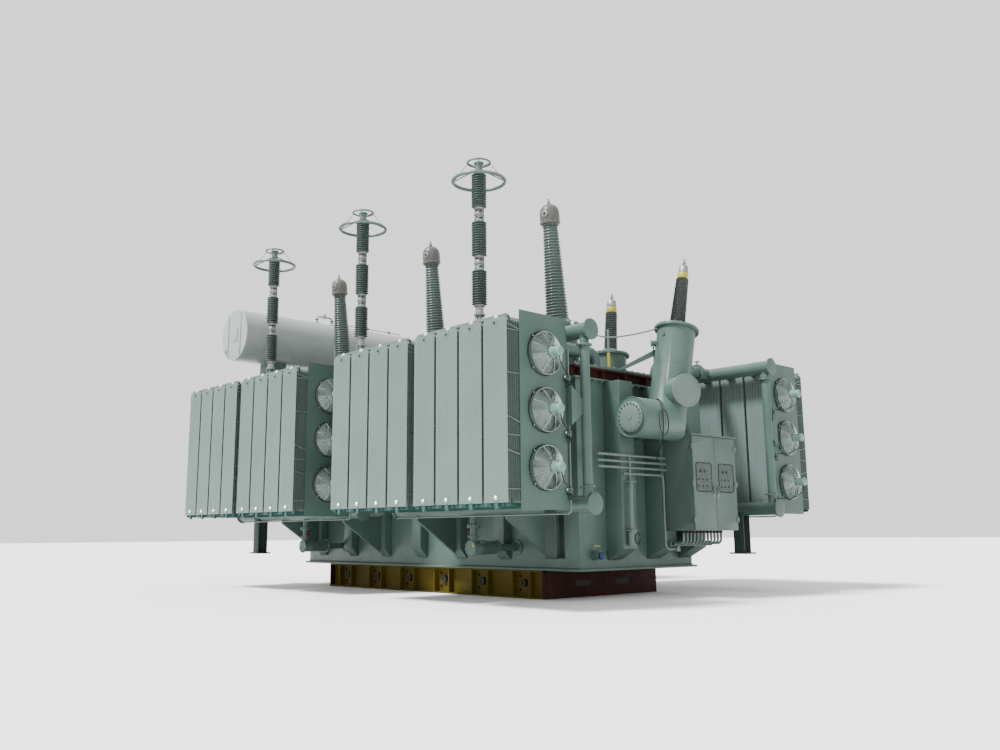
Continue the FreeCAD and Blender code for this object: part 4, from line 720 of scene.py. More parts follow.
def fan_rotor():
    """Hub with seven twisted, cambered blades."""
    rotor = Shape()
    rotor.lathe([(0, 0), (0.05, 0), (0.062, 0.006), (0.065, 0.014), (0.065, 0.05), (0.05, 0.056),
                 (0, 0.056)], (0.01205, 0, 0), X, 28)
    rotor.rod((0.06, 0, 0), (0.235, 0, 0), 0.015, 12)
    blades, rows, cols = 7, 7, 7
    for b in range(blades):
        spin = Matrix.Rotation(2 * math.pi * b / blades, 4, "X")
        verts, faces = [], []
        for face in (0, 1):
            for i in range(rows):
                u = i / (rows - 1)
                r = 0.05 + u * 0.249
                chord = 0.105 + 0.055 * math.sin(u * 2.2)
                angle = math.radians(40 - 20 * u)
                for j in range(cols):
                    v = j / (cols - 1) - 0.5
                    camber = 0.010 * (1 - 4 * v * v) + (0.0022 if face else -0.0022) * (1 - 3.2 * v * v)
                    y = v * chord * math.cos(angle) - camber * math.sin(angle) + 0.014 * u
                    x = v * chord * math.sin(angle) * 0.62 + camber * math.cos(angle)
                    verts.append(spin @ Vector((0.04 + x, y, math.sqrt(max(r * r - y * y, 0)))))
        n = rows * cols
        for i in range(rows - 1):
            for j in range(cols - 1):
                a = i * cols + j
                faces.append((a, a + 1, a + cols + 1, a + cols))
                faces.append((n + a, n + a + 1, n + a + cols + 1, n + a + cols))
        last = (rows - 1) * cols
        rim = list(range(cols)) + [i * cols + cols - 1 for i in range(1, rows)]
        rim += list(range(last + cols - 2, last - 1, -1)) + [i * cols for i in range(rows - 2, 0, -1)]
        for a, c in zip(rim, rim[1:] + rim[:1]):
            faces.append((a, c, n + c, n + a))
        rotor.add(verts, faces)
    return rotor


def make_fans():
    """Wire guards, motors, rotors on their own bodies, seals, clips and connectors."""
    wires, motor, rotor = fan_wires(), fan_motor(), fan_rotor()
    guards, motors, dark, plugs, clips = Shape(), Shape(), Shape(), Shape(), Shape()
    for name, number, centre, sy in fan_centres():
        move = Matrix.Translation(centre)
        guards.join(wires, move)
        motors.join(motor, move)
        key = "%s_%d" % (name, number)
        place("fan_blades_" + key, Shape().join(rotor, move), BLADE, body="fan_rotor_" + key,
              node="fan_rotor_" + key, angle=50)
        dark.torus(centre + X * 0.004, X, FAN_RING_R + 0.005, 0.007, 56, 6)
        for out in spokes(4, Y, UP, 45):
            at = centre + out * (FAN_RING_R + 0.012)
            dark.box(at - Vector((0, 0.016, 0.016)), at + Vector((0.022, 0.016, 0.016)), 0.003)
            clips.bolt(at + X * 0.02, X, 0.016)
        side = -sy
        at = centre + Vector((0, side * 0.48, -0.33))
        plugs.box(at - Vector((-0.002, 0.034, 0.034)), at + Vector((0.068, 0.034, 0.034)), 0.008)
        loop = []
        for k in range(13):
            t = 2 * math.pi * k / 12
            loop.append(at + Vector((0.045 + 0.012 * math.sin(3 * t), 0.045 * math.sin(t),
                                     -0.04 - 0.05 * (1 - math.cos(t)))))
        plugs.tube(loop, 0.008, 6)
        plugs.lathe([(0, 0), (0.02, 0), (0.022, 0.03), (0.014, 0.04), (0, 0.04)], at
                    + Vector((0.03, 0, -0.03)), (0, 0, -1), 14)
        clips.lathe([(0, 0), (0.016, 0), (0.016, 0.01), (0.01, 0.018), (0, 0.02)], at
                    + Vector((0.035, -side * 0.03, 0.014)),
                    (0, -side, 0), 12)
    place("fan_wire_guards", guards, WIRE, node="fan_guards")
    place("fan_motor_bodies", motors, MOTOR, node="fan_motors")
    place("fan_ring_seals", dark, BLACK)
    place("fan_connectors", plugs, BLACK)
    place("fan_clips", clips, STEEL)
    make_fan_conduits()


def make_fan_conduits():
    """Conduit down each panel's edge and back under the bank, with a junction at each fan."""
    conduit, fittings = Shape(), Shape()
    top, bottom, run, line = 4.0, 1.44, 4.4, 2.955
    for x in (RIGHT_PANEL + 0.022, LEFT_PANEL + 0.022):
        for y in (-line, line):
            conduit.tube(bent([(x, y, top), (x, y, bottom), (x - run, y, bottom)], 0.08), 0.014, 10)
            for k in range(3):
                z = FAN_Z + (k - 1) * FAN_PITCH - 0.33
                fittings.box((x - 0.022, y - 0.026, z - 0.045), (x + 0.026, y + 0.026, z + 0.045), 0.006)
                for foot in (z + 0.045, z - 0.067):
                    fittings.lathe([(0.014, 0), (0.021, 0.002), (0.021, 0.02), (0.014, 0.022)],
                                   (x, y, foot), UP, 12)
    place("fan_conduits", conduit, FIN_PAINT)
    place("fan_junctions", fittings, PAINT)


# ---- bushings and arresters ---------------------------------------------------------------------
def sheds(shape, seat, axis, height, r0, r1, count, core, seg=40):
    """Insulator with a row of rounded sheds, from radius r0 at its seat to r1 at its top."""
    profile = [(0, 0), (r0 * core, 0)]
    pitch = height / count
    for k in range(count):
        t = (k + 0.5) / count
        tip = r0 * (1 - t) + r1 * t
        body = tip * core
        z = k * pitch
        profile += [(body, z + 0.12 * pitch), (tip * 0.97, z + 0.30 * pitch), (tip, z + 0.38 * pitch),
                    (tip * 0.985, z + 0.48 * pitch),
                    (body + (tip - body) * 0.35, z + 0.70 * pitch), (body, z + 0.92 * pitch)]
    profile += [(r1 * core, height), (0, height)]
    return shape.lathe(profile, seat, axis, seg)


def leaning(lean):
    """Upright unit vector tilted towards -Y by this many degrees."""
    t = math.radians(lean)
    return Vector((0, -math.sin(t), math.cos(t)))


def flanged_top(plates, bolts, centre, axis, radius, count):
    """Rounded rim plate and its bolts on a can's top flange."""
    plates.lathe([(radius - 0.055, -0.052), (radius, -0.052), (radius, -0.046), (radius, -0.002),
                  (radius - 0.004, 0.0), (radius - 0.07, 0.0)], centre, axis, 56)
    bolts.bolt_ring(centre, axis, radius - 0.03, count, 0.028)


def add_dome(shapes, top, up, foot_r):
    """Round head of a large bushing, with a side port whose opening is a dark disc of painted shade, and a
    terminal stud on top.
    """
    shapes["domes"].lathe([(0, 0), (foot_r * 1.02, 0), (foot_r * 1.02, 0.03), (0.185, 0.036), (0.194, 0.05),
                           (0.194, 0.07), (0.18, 0.08), (0.186, 0.11), (0.190, 0.2), (0.184, 0.28),
                           (0.165, 0.345), (0.125, 0.392), (0.085, 0.415), (0.06, 0.42), (0, 0.42)], top,
                          up, 44)
    shapes["bolts"].bolt_ring(top + up * 0.07, up, 0.184, 12, 0.02)
    aside = Vector((0.25, -0.97, 0)).normalized()
    port = top + up * 0.2
    shapes["heads"].lathe([(0.05, 0), (0.05, 0.028), (0.06, 0.03), (0.06, 0.046), (0.03, 0.05), (0, 0.05)],
                          port + aside * 0.15, aside, 20)
    # painted shade: a flat dark disc on the port's end stands for the shade inside its opening
    shapes["port_shade"].lathe([(0, 0), (0.032, 0), (0.03, 0.004), (0, 0.004)], port + aside * 0.199, aside, 16)
    shapes["heads"].lathe([(0.055, 0), (0.055, 0.012), (0.03, 0.02), (0.022, 0.03), (0.022, 0.12),
                           (0, 0.12)],
                          top + up * 0.418, up, 20)


def add_cap(shapes, top, up, radius, height):
    """Banded foot and stepped metal cap of a smaller bushing."""
    band = height * 0.36
    wide = radius * 1.03
    shapes["bands"].lathe([(0, 0), (radius, 0), (wide, 0.006), (wide, band - 0.006), (radius, band),
                           (0, band)],
                          top, up, 36)
    shapes["bands"].torus(top + up * band * 0.5, up, radius, 0.006, 36, 6)
    shapes["caps"].lathe([(0, band), (radius * 0.9, band), (radius * 0.93, band + 0.01),
                          (radius * 0.9, height * 0.8),
                          (radius * 0.7, height * 0.9), (radius * 0.42, height * 0.97),
                          (radius * 0.3, height),
                          (0.022, height), (0.022, height + 0.11), (0, height + 0.11)], top, up, 32)
    shapes["bolts"].bolt_ring(top + up * (band + 0.012), up, radius * 0.97, 8, 0.014)


def make_bushings():
    """Each row is foot, lean, can radius and height, insulator's two radii and length, head, sheds."""
    keys = ("hv", "mv", "heads", "domes", "bands", "caps", "plates", "bolts", "port_shade")
    shapes = {key: Shape() for key in keys}
    hv = [((x, HV_Y, COVER_TOP), HV_LEAN, 0.35, 0.85, 0.225, 0.148, 1.8, 0.198, 0.43, 32) for x in PHASES]
    mv = [((x, MV_Y, COVER_TOP), MV_LEAN, 0.324, 0.64, 0.14, 0.128, 0.8, 0.105, 0.29, 20)
          for x in MV_PHASES]
    end = (KNEE, TURRET_LEAN, DUCT_R, TURRET_LENGTH, 0.146, 0.118, 0.96, 0.095, 0.3, 24)
    for row in hv + mv + [end]:
        foot, lean, can_r, can_height, foot_r, top_r, length, head_r, head, count = row
        big = row in hv
        up = leaning(lean)
        seat = Vector(foot) + up * can_height
        base = seat + up * 0.09
        top = base + up * length
        flanged_top(shapes["plates"], shapes["bolts"], seat, up, can_r + 0.058, 28 if big else 24)
        shapes["plates"].lathe([(foot_r * 1.52, 0.0), (foot_r * 1.52, 0.022), (foot_r * 1.3, 0.03),
                                (foot_r * 1.1, 0.06), (foot_r * 1.07, 0.09), (foot_r * 0.8, 0.09)], seat,
                               up, 44)
        shapes["bolts"].bolt_ring(seat + up * 0.022, up, foot_r * 1.41, 12, 0.026)
        sheds(shapes["hv" if big else "mv"], base, up, length, foot_r, top_r, count, 0.84 if big else 0.8)
        if big:
            add_dome(shapes, top, up, top_r)
        else:
            add_cap(shapes, top, up, head_r, head)
        shapes["heads"].rod(top + up * (head + 0.015), top + up * (head + 0.055), 0.034, 6)
    place("hv_shed_stacks", shapes["hv"], HV_GLAZE, node="hv_insulators")
    place("mv_shed_stacks", shapes["mv"], MV_GLAZE, node="mv_insulators")
    place("hv_domes", shapes["domes"], DOME, node="bushing_heads")
    # the port's dark disc is painted shade
    place("hv_dome_port_shade", shapes["port_shade"], DARK)
    place("bushing_fittings", shapes["heads"], CAST)
    place("bushing_bands", shapes["bands"], TAPE)
    place("bushing_caps", shapes["caps"], CAST)
    place("can_rims", shapes["plates"], PAINT)
    place("can_bolts", shapes["bolts"], ZINC)


def add_arrester_joint(joints, bolts, dark, base):
    """Flanged casting between two units, with ribs and bolts, and a dark ring of painted shade in each neck.
    """
    joints.lathe([(0, 0), (0.088, 0), (0.09, 0.01), (0.09, 0.034), (0.072, 0.044), (0.06, 0.075),
                  (0.072, 0.103),
                  (0.089, 0.112), (0.089, 0.148), (0.072, 0.157), (0.06, 0.185), (0.072, 0.216),
                  (0.09, 0.226),
                  (0.09, 0.25), (0.088, 0.26), (0, 0.26)], base, UP, 32)
    corner = Vector((0.005, 0.005, 0))
    for out in spokes(8, X, Y):
        joints.box(base + out * 0.074 - corner + UP * 0.04, base + out * 0.084 + corner + UP * 0.222, 0.002)
        bolts.rod(base + out * 0.082 + UP * 0.106, base + out * 0.082 + UP * 0.154, 0.009, 6)
    # painted shade: a dark ring fills each neck of the casting, below and above the bolted band
    for level in (0.06, 0.2):
        dark.torus(base + UP * level, UP, 0.062, 0.014, 28, 6)


def add_grading_rings(rings, top):
    """Large and small ring on four pairs of stays."""
    big_drop, big_r, small_rise, small_r = -0.13, 0.46, 0.215, 0.202
    rings.torus(top + UP * big_drop, UP, big_r, 0.0295, 72, 12)
    rings.torus(top + UP * small_rise, UP, small_r, 0.0178, 48, 10)
    for out in spokes(4, X, Y, 45):
        low = top + out * (big_r - 0.02) + UP * (big_drop + 0.009)
        high = top + out * (small_r - 0.007) + UP * (small_rise - 0.004)
        rings.tube([top + out * 0.078 + UP * 0.0645, low], 0.0115, 8)
        rings.tube([top + out * 0.078 + UP * 0.1505, high], 0.011, 8)
        rings.tube([low, high], 0.006, 6)


def make_arresters():
    """Three stacks of three units with castings, dark rings of painted shade in the castings' necks, and
    grading rings.
    """
    units, joints, rings, bolts, dark = (Shape() for _ in range(5))
    for x in PHASES:
        at = Vector((x, ARRESTER_Y, ARRESTER_FOOT))
        joints.lathe([(0, 0), (0.105, 0), (0.105, 0.018), (0.07, 0.024), (0.052, 0.05), (0.05, 0.1),
                      (0.062, 0.125),
                      (0.09, 0.14), (0.1, 0.15), (0.1, 0.168), (0.075, 0.176), (0.07, 0.295),
                      (0.094, 0.305),
                      (0.094, 0.33), (0, 0.33)], at, UP, 32)
        for out in spokes(3, X, Y, 24):
            joints.rod(at + out * 0.088 + UP * 0.012, at + out * 0.088 + UP * 0.15, 0.011, 10)
        bolts.bolt_ring(at + UP * 0.168, UP, 0.088, 8, 0.016)
        at = at + UP * ARRESTER_BASE
        for unit in range(3):
            if unit:
                add_arrester_joint(joints, bolts, dark, at)
                at = at + UP * ARRESTER_JOINT
            sheds(units, at, UP, ARRESTER_UNIT, 0.134, 0.134, 14, 0.66, 36)
            at = at + UP * ARRESTER_UNIT
        rings.lathe([(0, 0), (0.09, 0), (0.09, 0.022), (0.074, 0.03), (0.07, 0.10), (0.062, 0.14),
                     (0.07, 0.18),
                     (0.09, 0.19), (0.09, 0.213), (0, 0.215)], at, UP, 32)
        bolts.bolt_ring(at + UP * 0.022, UP, 0.082, 8, 0.014)
        add_grading_rings(rings, at)
    place("arrester_shed_stacks", units, SILICONE, node="arrester_insulators")
    place("arrester_castings", joints, CAST, node="arrester_joints")
    place("arrester_rings", rings, RING, node="grading_rings")
    place("arrester_bolts", bolts, ZINC)
    # dark rings in the castings' necks: painted shade
    place("arrester_neck_shade", dark, BLACK)


# ---- end duct -----------------------------------------------------------------------------------
def make_turret():
    """Cover plates, bolts and welds of the duct and turret, and the small things fixed to them."""
    plates, bolts, fit, seams = (Shape() for _ in range(4))
    front = Vector((DUCT_X, DUCT_FRONT, DUCT_Z))
    plates.lathe([(0, -0.014), (0.05, -0.014), (0.05, -0.005), (0.258, -0.005), (0.267, 0.002),
                  (0.267, 0.024),
                  (0.26, 0.024)], front, Y, 48)
    bolts.bolt_ring(front - Y * 0.005, -Y, 0.235, 20, 0.03)
    seams.torus(front + Y * 0.045, Y, 0.344, 0.008, 56, 6)
    up = leaning(TURRET_LEAN)
    turn = math.radians(19)
    out = Vector((math.cos(turn), -math.sin(turn), 0))
    end = KNEE + up * 0.51 + out * 0.54
    plates.lathe([(0.22, -0.024), (0.292, -0.024), (0.296, -0.02), (0.296, 0.001), (0.292, 0.004),
                  (0.0, 0.004)],
                 end, out, 48)
    bolts.bolt_ring(end - out * 0.026, -out, 0.281, 24, 0.022)
    bolts.bolt_ring(end + out * 0.003, out, 0.272, 24, 0.022)
    seams.torus(KNEE + up * 1.02, up, 0.349, 0.005, 56, 6)
    left = Vector((-0.674, -0.739, 0))
    high = KNEE + up * 1.52
    fit.lathe([(0.045, 0), (0.045, 0.03), (0.062, 0.032), (0.062, 0.05), (0.05, 0.052), (0.05, 0.09),
               (0.062, 0.092), (0.062, 0.11), (0.02, 0.12), (0, 0.12)], high + left * 0.335, left, 24)
    fit.lathe([(0, 0), (0.02, 0), (0.02, 0.02), (0.012, 0.03), (0, 0.03)], high + left * 0.4 - UP * 0.06,
              -UP, 10)
    fit.box(high + Vector((-0.02, -0.36, 0.10)), high + Vector((0.02, -0.34, 0.16)), 0.004)
    place("duct_covers", plates, FIN_PAINT)
    place("duct_bolts", bolts, ZINC)
    place("duct_seams", seams, PAINT)
    place("turret_fittings", fit, PAINT)
    make_turret_lines(high + left * 0.41 - UP * 0.08)


def make_turret_lines(start):
    """Black cable with its hanging coil, brace to the cover, vent line and taped rod."""
    cable, brace, thin, rod = (Shape() for _ in range(4))
    route = [start, (4.735, 0.03, 4.2), (4.745, -0.02, 3.75), (4.84, -0.13, 3.5), (5.1, -0.38, 3.47),
             (5.29, -0.53, 3.34), (5.362, -0.60, 3.1), (5.33, -0.57, 2.86), (5.18, -0.42, 2.70),
             (4.9, -0.16, 2.56), (4.72, 0.02, 2.47)]
    cable.tube(smooth_line(route, 7), 0.011, 8)
    turns = [2 * math.pi * k / 20 for k in range(21)]
    coil = [Vector((5.375, -0.60 + 0.13 * math.sin(t), 3.02 + 0.22 * math.cos(t))) for t in turns]
    cable.tube(smooth_line(coil, 2), 0.009, 8)
    low, high = Vector((4.31, -0.52, COVER_TOP - 0.002)), Vector((4.735, 0.12, 4.50))
    brace.prism([low, high, high - UP * 0.12, low + Vector((0.08, 0.12, 0))], (0.006, -0.004, 0))
    brace.box((4.22, -0.60, COVER_TOP - 0.001), (4.34, -0.46, COVER_TOP + 0.012), 0.003)
    vent = [(5.40, -2.45, 4.30), (5.1, -1.6, 4.42), (4.85, -0.6, 4.66), (4.80, 0.08, 4.86)]
    thin.tube(smooth_line(vent, 6), 0.014, 8)
    thin.rod((5.40, -2.56, 4.29), (5.40, -2.43, 4.30), 0.022, 10)
    foot = Vector((4.2, -0.62, COVER_TOP))
    rod.rod(foot, foot + UP * 0.3, 0.028, 12)
    thin.rod(foot + UP * 0.3, foot + UP * 0.75, 0.02, 12)
    place("turret_cable", cable, BLACK)
    place("turret_brace", brace, PAINT)
    place("vent_lines", thin, FIN_PAINT)
    place("taped_rod", rod, TAPE)


# ---- tank ---------------------------------------------------------------------------------------
def make_tank():
    """Rim bolts, weld seams, jacking brackets, lifting lugs and manholes."""
    bolts, seams, fit = (Shape() for _ in range(3))
    x, y = TANK_X + RIM_LIP - 0.03, TANK_Y + RIM_LIP - 0.03
    for length, across, flip in ((x, y, False), (y, x, True)):
        count = int(2 * length / 0.17)
        for k in range(count + 1):
            s = -length + 2 * length * k / count
            for side in (-1, 1):
                p = (side * across, s) if flip else (s, side * across)
                bolts.bolt((*p, COVER_TOP), UP, 0.034)
                bolts.bolt((*p, TANK_TOP - 0.035), -UP, 0.03)
    for z, r in ((FLOOR_TOP + 0.008, 0.012), (1.9, 0.004), (2.9, 0.004)):
        for s in (-1, 1):
            wall = s * (TANK_Y + 0.001)
            seams.tube([(-TANK_X, wall, z), (TANK_X, wall, z)], r, 6)
            wall = s * (TANK_X + 0.001)
            seams.tube([(wall, -TANK_Y, z), (wall, TANK_Y, z)], r, 6)
    for sx in (-1, 1):
        for sy in (-1, 1):
            px, py = sx * (TANK_X - 0.55), sy * TANK_Y
            fit.box((px - 0.14, py, 0.86), (px + 0.14, py + sy * 0.14, 0.90), 0.004)
            for dx in (-0.128, 0.112):
                rib = px + dx
                fit.prism([(rib, py, 0.90), (rib, py + sy * 0.13, 0.90), (rib, py, 1.12)], (0.016, 0, 0))
    low, high = COVER_TOP, COVER_TOP + 0.12
    for px in (-3.2, -1.6, 1.6, 3.2):
        for py in (-1.45, 1.45):
            fit.prism([(px - 0.09, py, low), (px + 0.09, py, low), (px + 0.06, py, high),
                       (px - 0.06, py, high)],
                      (0, 0.02, 0))
    for px, py in ((1.75, -0.2), (-1.75, -0.2), (1.5, 0.2)):
        fit.flange(0, 0.225, 0.034, (px, py, COVER_TOP), UP, 40, 0.005)
        bolts.bolt_ring((px, py, COVER_TOP + 0.034), UP, 0.2, 16, 0.022)
    handle, cap = add_drain_valve(fit, bolts)
    place("tank_bolts", bolts, ZINC)
    place("tank_seams", seams, PAINT)
    place("tank_fittings", fit, PAINT)
    place("drain_valve_handle", handle, TAPE)
    place("drain_valve_cap", cap, BLUE)


def add_drain_valve(fit, bolts):
    """Valve low on the cabinet end; its yellow lever and blue cap come back as shapes of their own."""
    handle, cap = Shape(), Shape()
    y, z = -1.235, 0.76
    fit.lathe([(0.05, 0), (0.05, 0.05), (0.085, 0.052), (0.085, 0.07), (0.06, 0.075), (0.06, 0.13),
               (0.085, 0.135),
               (0.085, 0.153), (0, 0.153)], (TANK_X - 0.002, y, z), X, 24)
    bolts.bolt_ring((TANK_X + 0.151, y, z), X, 0.07, 6, 0.016)
    cap.lathe([(0, 0), (0.06, 0), (0.064, 0.006), (0.064, 0.045), (0.05, 0.055), (0, 0.055)],
              (TANK_X + 0.152, y, z), X, 24)
    fit.rod((TANK_X + 0.1, y, z + 0.05), (TANK_X + 0.1, y, z + 0.16), 0.012, 8)
    handle.box((TANK_X + 0.088, y - 0.09, z + 0.155), (TANK_X + 0.112, y + 0.05, z + 0.172), 0.004)
    return handle, cap


def make_skid():
    """Bosses and bolts in the side beams' bays, and bands and pockets on the end beams; the bosses, bolts,
    bores and pockets are dark with painted shade.
    """
    lugs, dark, band = Shape(), Shape(), Shape()
    bays, half = 6, SKID_X - 0.03
    for k in range(bays):
        x = -half + (k + 0.5) * 2 * half / bays
        for sy in (-1, 1):
            y = sy * SKID_Y
            lugs.lathe([(0.03, 0), (0.07, 0), (0.07, 0.05), (0.03, 0.05)], (x + 0.015, y, 0.27), Y * sy, 20)
            # painted shade: a dark plug fills each boss's bore
            dark.rod((x + 0.015, y, 0.27), (x + 0.015, y + sy * 0.04, 0.27), 0.03, 14)
            for dx in (-0.1, 0.13):
                for z in (0.14, 0.38):
                    lugs.bolt((x + dx, y, z), Y * sy, 0.045)
    for s in (-1, 1):
        x = s * SKID_X
        band.box((x - s * 0.03, -1.6, 0.465), (x, 1.6, 0.5), 0.004)
        for y in (-0.75, 0.35):
            # painted shade: a flat dark patch stands for each pocket's opening
            dark.box((x - s * 0.01, y, 0.2), (x + s * 0.0005, y + 0.4, 0.3), 0.002)
    # bosses and bolts in the shaded bays take the dark colour: painted shade
    place("skid_bosses_painted_shade", lugs, DARK)
    # bores and pockets: painted shade
    place("skid_bore_and_pocket_shade", dark, DARK)
    place("skid_end_bands", band, YELLOW)


# ---- conservator --------------------------------------------------------------------------------
def make_conservator():
    """Drum, end discs, pads, bolts and the small valves on top."""
    drum, ends, bolts, bars, valves = (Shape() for _ in range(5))
    mouth, lip, length = 0.60, 0.006, 2 * DRUM_HALF
    wall = [(DRUM_R, length * k / 16) for k in range(1, 16)]
    drum.lathe([(mouth, 0), (DRUM_R - lip, 0), (DRUM_R, lip)] + wall
               + [(DRUM_R, length - lip), (DRUM_R - lip, length), (mouth, length)],
               (DRUM_X, -DRUM_HALF, DRUM_Z), Y, 72)
    for y in (-1.7, 0.0, 1.7):
        drum.torus((DRUM_X, y, DRUM_Z), (0, 1, 0), DRUM_R - 0.0025, 0.005, 72, 6)
    for s in (-1, 1):
        y = s * DRUM_HALF
        ends.lathe([(0, 0.014), (0.59, 0.014), (0.612, 0.011), (0.615, 0.004), (0.615, 0.0), (0, 0)],
                   (DRUM_X, y, DRUM_Z), (0, s, 0), 72)
        ends.lathe([(0, 0.034), (0.165, 0.034), (0.172, 0.03), (0.172, 0.012)], (DRUM_X, y, DRUM_Z),
                   (0, s, 0), 40)
        for dx in (-0.29, 0.29):
            ends.box((DRUM_X + dx - 0.02, y + s * 0.012, DRUM_Z - 0.5),
                     (DRUM_X + dx + 0.02, y + s * 0.033, DRUM_Z + 0.5), 0.004)
        gauge = Vector((DRUM_X - 0.35, y, DRUM_Z - 0.36))
        valves.rod(gauge + Y * s * 0.012, gauge + Y * s * 0.034, 0.045, 20)
    pad = 4.874
    for y in (-2.35, 2.35):
        bars.box((DRUM_X - 0.20, y - 0.2, pad - 0.015), (DRUM_X + 0.20, y + 0.2, pad), 0.003)
        for dx in (-0.17, 0.17):
            for dy in (-0.16, 0.16):
                bolts.bolt((DRUM_X + dx, y + dy, pad), UP, 0.03)
    top = DRUM_Z + DRUM_R
    for y in (-1.15, -0.7):
        valves.lathe([(0, 0), (0.075, 0), (0.075, 0.018), (0.03, 0.02)], (DRUM_X, y, top - 0.004), UP, 24)
        valves.lathe([(0.024, 0), (0.055, 0), (0.055, 0.014), (0.024, 0.014)], (DRUM_X, y, top + 0.10), UP,
                     20)
    for y in (0.4, 1.1):
        valves.lathe([(0.011, 0), (0.03, 0), (0.03, 0.05), (0.011, 0.05)], (DRUM_X, y, top + 0.07),
                     (0, 1, 0), 12)
        valves.rod((DRUM_X, y + 0.025, top + 0.07), (DRUM_X, y + 0.025, top + 0.13), 0.008, 8)
        valves.box((DRUM_X - 0.035, y + 0.018, top + 0.125), (DRUM_X + 0.035, y + 0.032, top + 0.135),
                   0.002)
    place("conservator_drum", drum, CONSERVATOR, node="conservator_shell", angle=30)
    place("conservator_end_discs", ends, CONSERVATOR, node="conservator_ends")
    place("conservator_pads", bars, PAINT)
    place("conservator_bolts", bolts, ZINC)
    place("conservator_fittings", valves, PAINT)


# ---- control cabinet ----------------------------------------------------------------------------
def rounded(y0, y1, z0, z1, r, steps=5):
    """Corner points of a rounded rectangle in the YZ plane."""
    points = []
    for cy, cz, start in ((y1 - r, z1 - r, 0), (y0 + r, z1 - r, 90), (y0 + r, z0 + r, 180),
                          (y1 - r, z0 + r, 270)):
        for k in range(steps + 1):
            t = math.radians(start + 90 * k / steps)
            points.append((cy + r * math.cos(t), cz + r * math.sin(t)))
    return points


def make_door(side, name):
    """One door's leaf with its window, instruments, handle and folded edges, all on the door's body."""
    meeting = (CAB_Y0 + CAB_Y1) / 2 + side * 0.003
    y0, y1 = sorted((meeting + side * 0.105, meeting + side * 0.585))
    z0, z1 = CAB_Z0 + 0.69, CAB_Z0 + 1.21
    face = DOOR_FACE
    rim, pane, panel, dials, grip, lines = (Shape() for _ in range(6))

    def window(inset, radius, depth):
        """Outline of the window, drawn in by the inset, this far proud of the leaf."""
        corners = rounded(y0 + inset, y1 - inset, z0 + inset, z1 - inset, radius)
        return [Vector((face + depth, y, z)) for y, z in corners]

    loop = window(0.004, 0.05, -0.001)
    rim.tube(loop + loop[:2], 0.0115, 8)
    pane.prism(window(0.006, 0.045, 0.007), (0.002, 0, 0))
    panel.prism(window(0.004, 0.045, 0.0005), (0.001, 0, 0))
    for row, (z, count) in enumerate(((z1 - 0.15, 2), (z0 + 0.22, 3), (z0 + 0.1, 3))):
        for k in range(count):
            y = y0 + 0.2 + (k - (count - 1) / 2) * 0.12
            if row == 0:
                dials.lathe([(0, 0), (0.034, 0), (0.036, 0.001), (0.036, 0.003), (0.03, 0.004), (0, 0.004)],
                            (face + 0.0014, y, z), X, 24)
            else:
                dials.box((face + 0.0014, y - 0.026, z - 0.018), (face + 0.005, y + 0.026, z + 0.018),
                          0.001)
    y = meeting + side * 0.06
    grip.lathe([(0, 0), (0.026, 0), (0.026, 0.006), (0.014, 0.008), (0.014, 0.018), (0, 0.018)],
               (face + 0.004, y, z0 + 0.02), X, 20)
    grip.box((face + 0.018, y - 0.01, z0 - 0.085), (face + 0.0255, y + 0.01, z0 + 0.03), 0.004)
    grip.box((face - 0.001, y - 0.018, z0 - 0.1), (face + 0.0055, y + 0.018, z0 + 0.11), 0.004)
    hinge_edge = CAB_Y0 + 0.008 if side < 0 else CAB_Y1 - 0.008
    ends = (hinge_edge - side * 0.02, meeting + side * 0.02)
    levels = (CAB_Z0 + 0.03, CAB_Z1 - 0.03)
    for z in levels:
        lines.box((face - 0.001, min(ends), z - 0.002), (face + 0.002, max(ends), z + 0.002), 0.001)
    for y in ends:
        lines.box((face - 0.001, y - 0.002, levels[0]), (face + 0.002, y + 0.002, levels[1]), 0.001)
    place(name + "_window_seal", rim, BLACK, body=name)
    place(name + "_pane", pane, GLASS, body=name)
    place(name + "_window_panel", panel, PALE, body=name)
    place(name + "_dials", dials, DARK, body=name)
    place(name + "_handle", grip, ZINC, body=name)
    place(name + "_folds", lines, CABINET, body=name)
    refined(name, CABINET, 0.003, body=name)


def make_cabinet():
    """Both doors, the gear seen when they are open, the cable glands and the side bolts."""
    make_door(-1, "cabinet_door_left")
    make_door(1, "cabinet_door_right")
    inside, glands, bolts = Shape(), Shape(), Shape()
    back = CAB_X0 + 0.04
    inside.box((back - 0.01, CAB_Y0 + 0.12, CAB_Z0 + 0.16), (back, CAB_Y1 - 0.12, CAB_Z1 - 0.14), 0.003)
    for r in range(5):
        for k in range(9):
            y, z = CAB_Y0 + 0.17 + k * 0.115, CAB_Z0 + 0.3 + r * 0.26
            depth = 0.06 if (k + r) % 3 else 0.09
            inside.box((back, y, z), (back + depth, y + 0.085, z + 0.12), 0.004)
    for k in range(12):
        y = 0.43 + k * (1.165 / 11)
        glands.lathe([(0.022, 0), (0.034, 0), (0.036, 0.006), (0.036, 0.022), (0.03, 0.026), (0.03, 0.04),
                      (0.022, 0.044)], (CAB_X0 + 0.295, y, CAB_Z0 - 0.044), UP, 6)
        glands.lathe([(0.022, 0), (0.029, 0.002), (0.029, 0.03), (0.022, 0.032)], (4.694, y, 0.944), X, 16)
    for y, side in ((CAB_Y0, -1), (CAB_Y1, 1)):
        for z in (CAB_Z0 + 0.05, CAB_Z1 - 0.05):
            bolts.bolt((CAB_X1 - 0.2, y, z), Y * side, 0.02)
    place("cabinet_gear", inside, PALE)
    place("cabinet_glands", glands, BLACK)
    place("cabinet_bolts", bolts, ZINC)


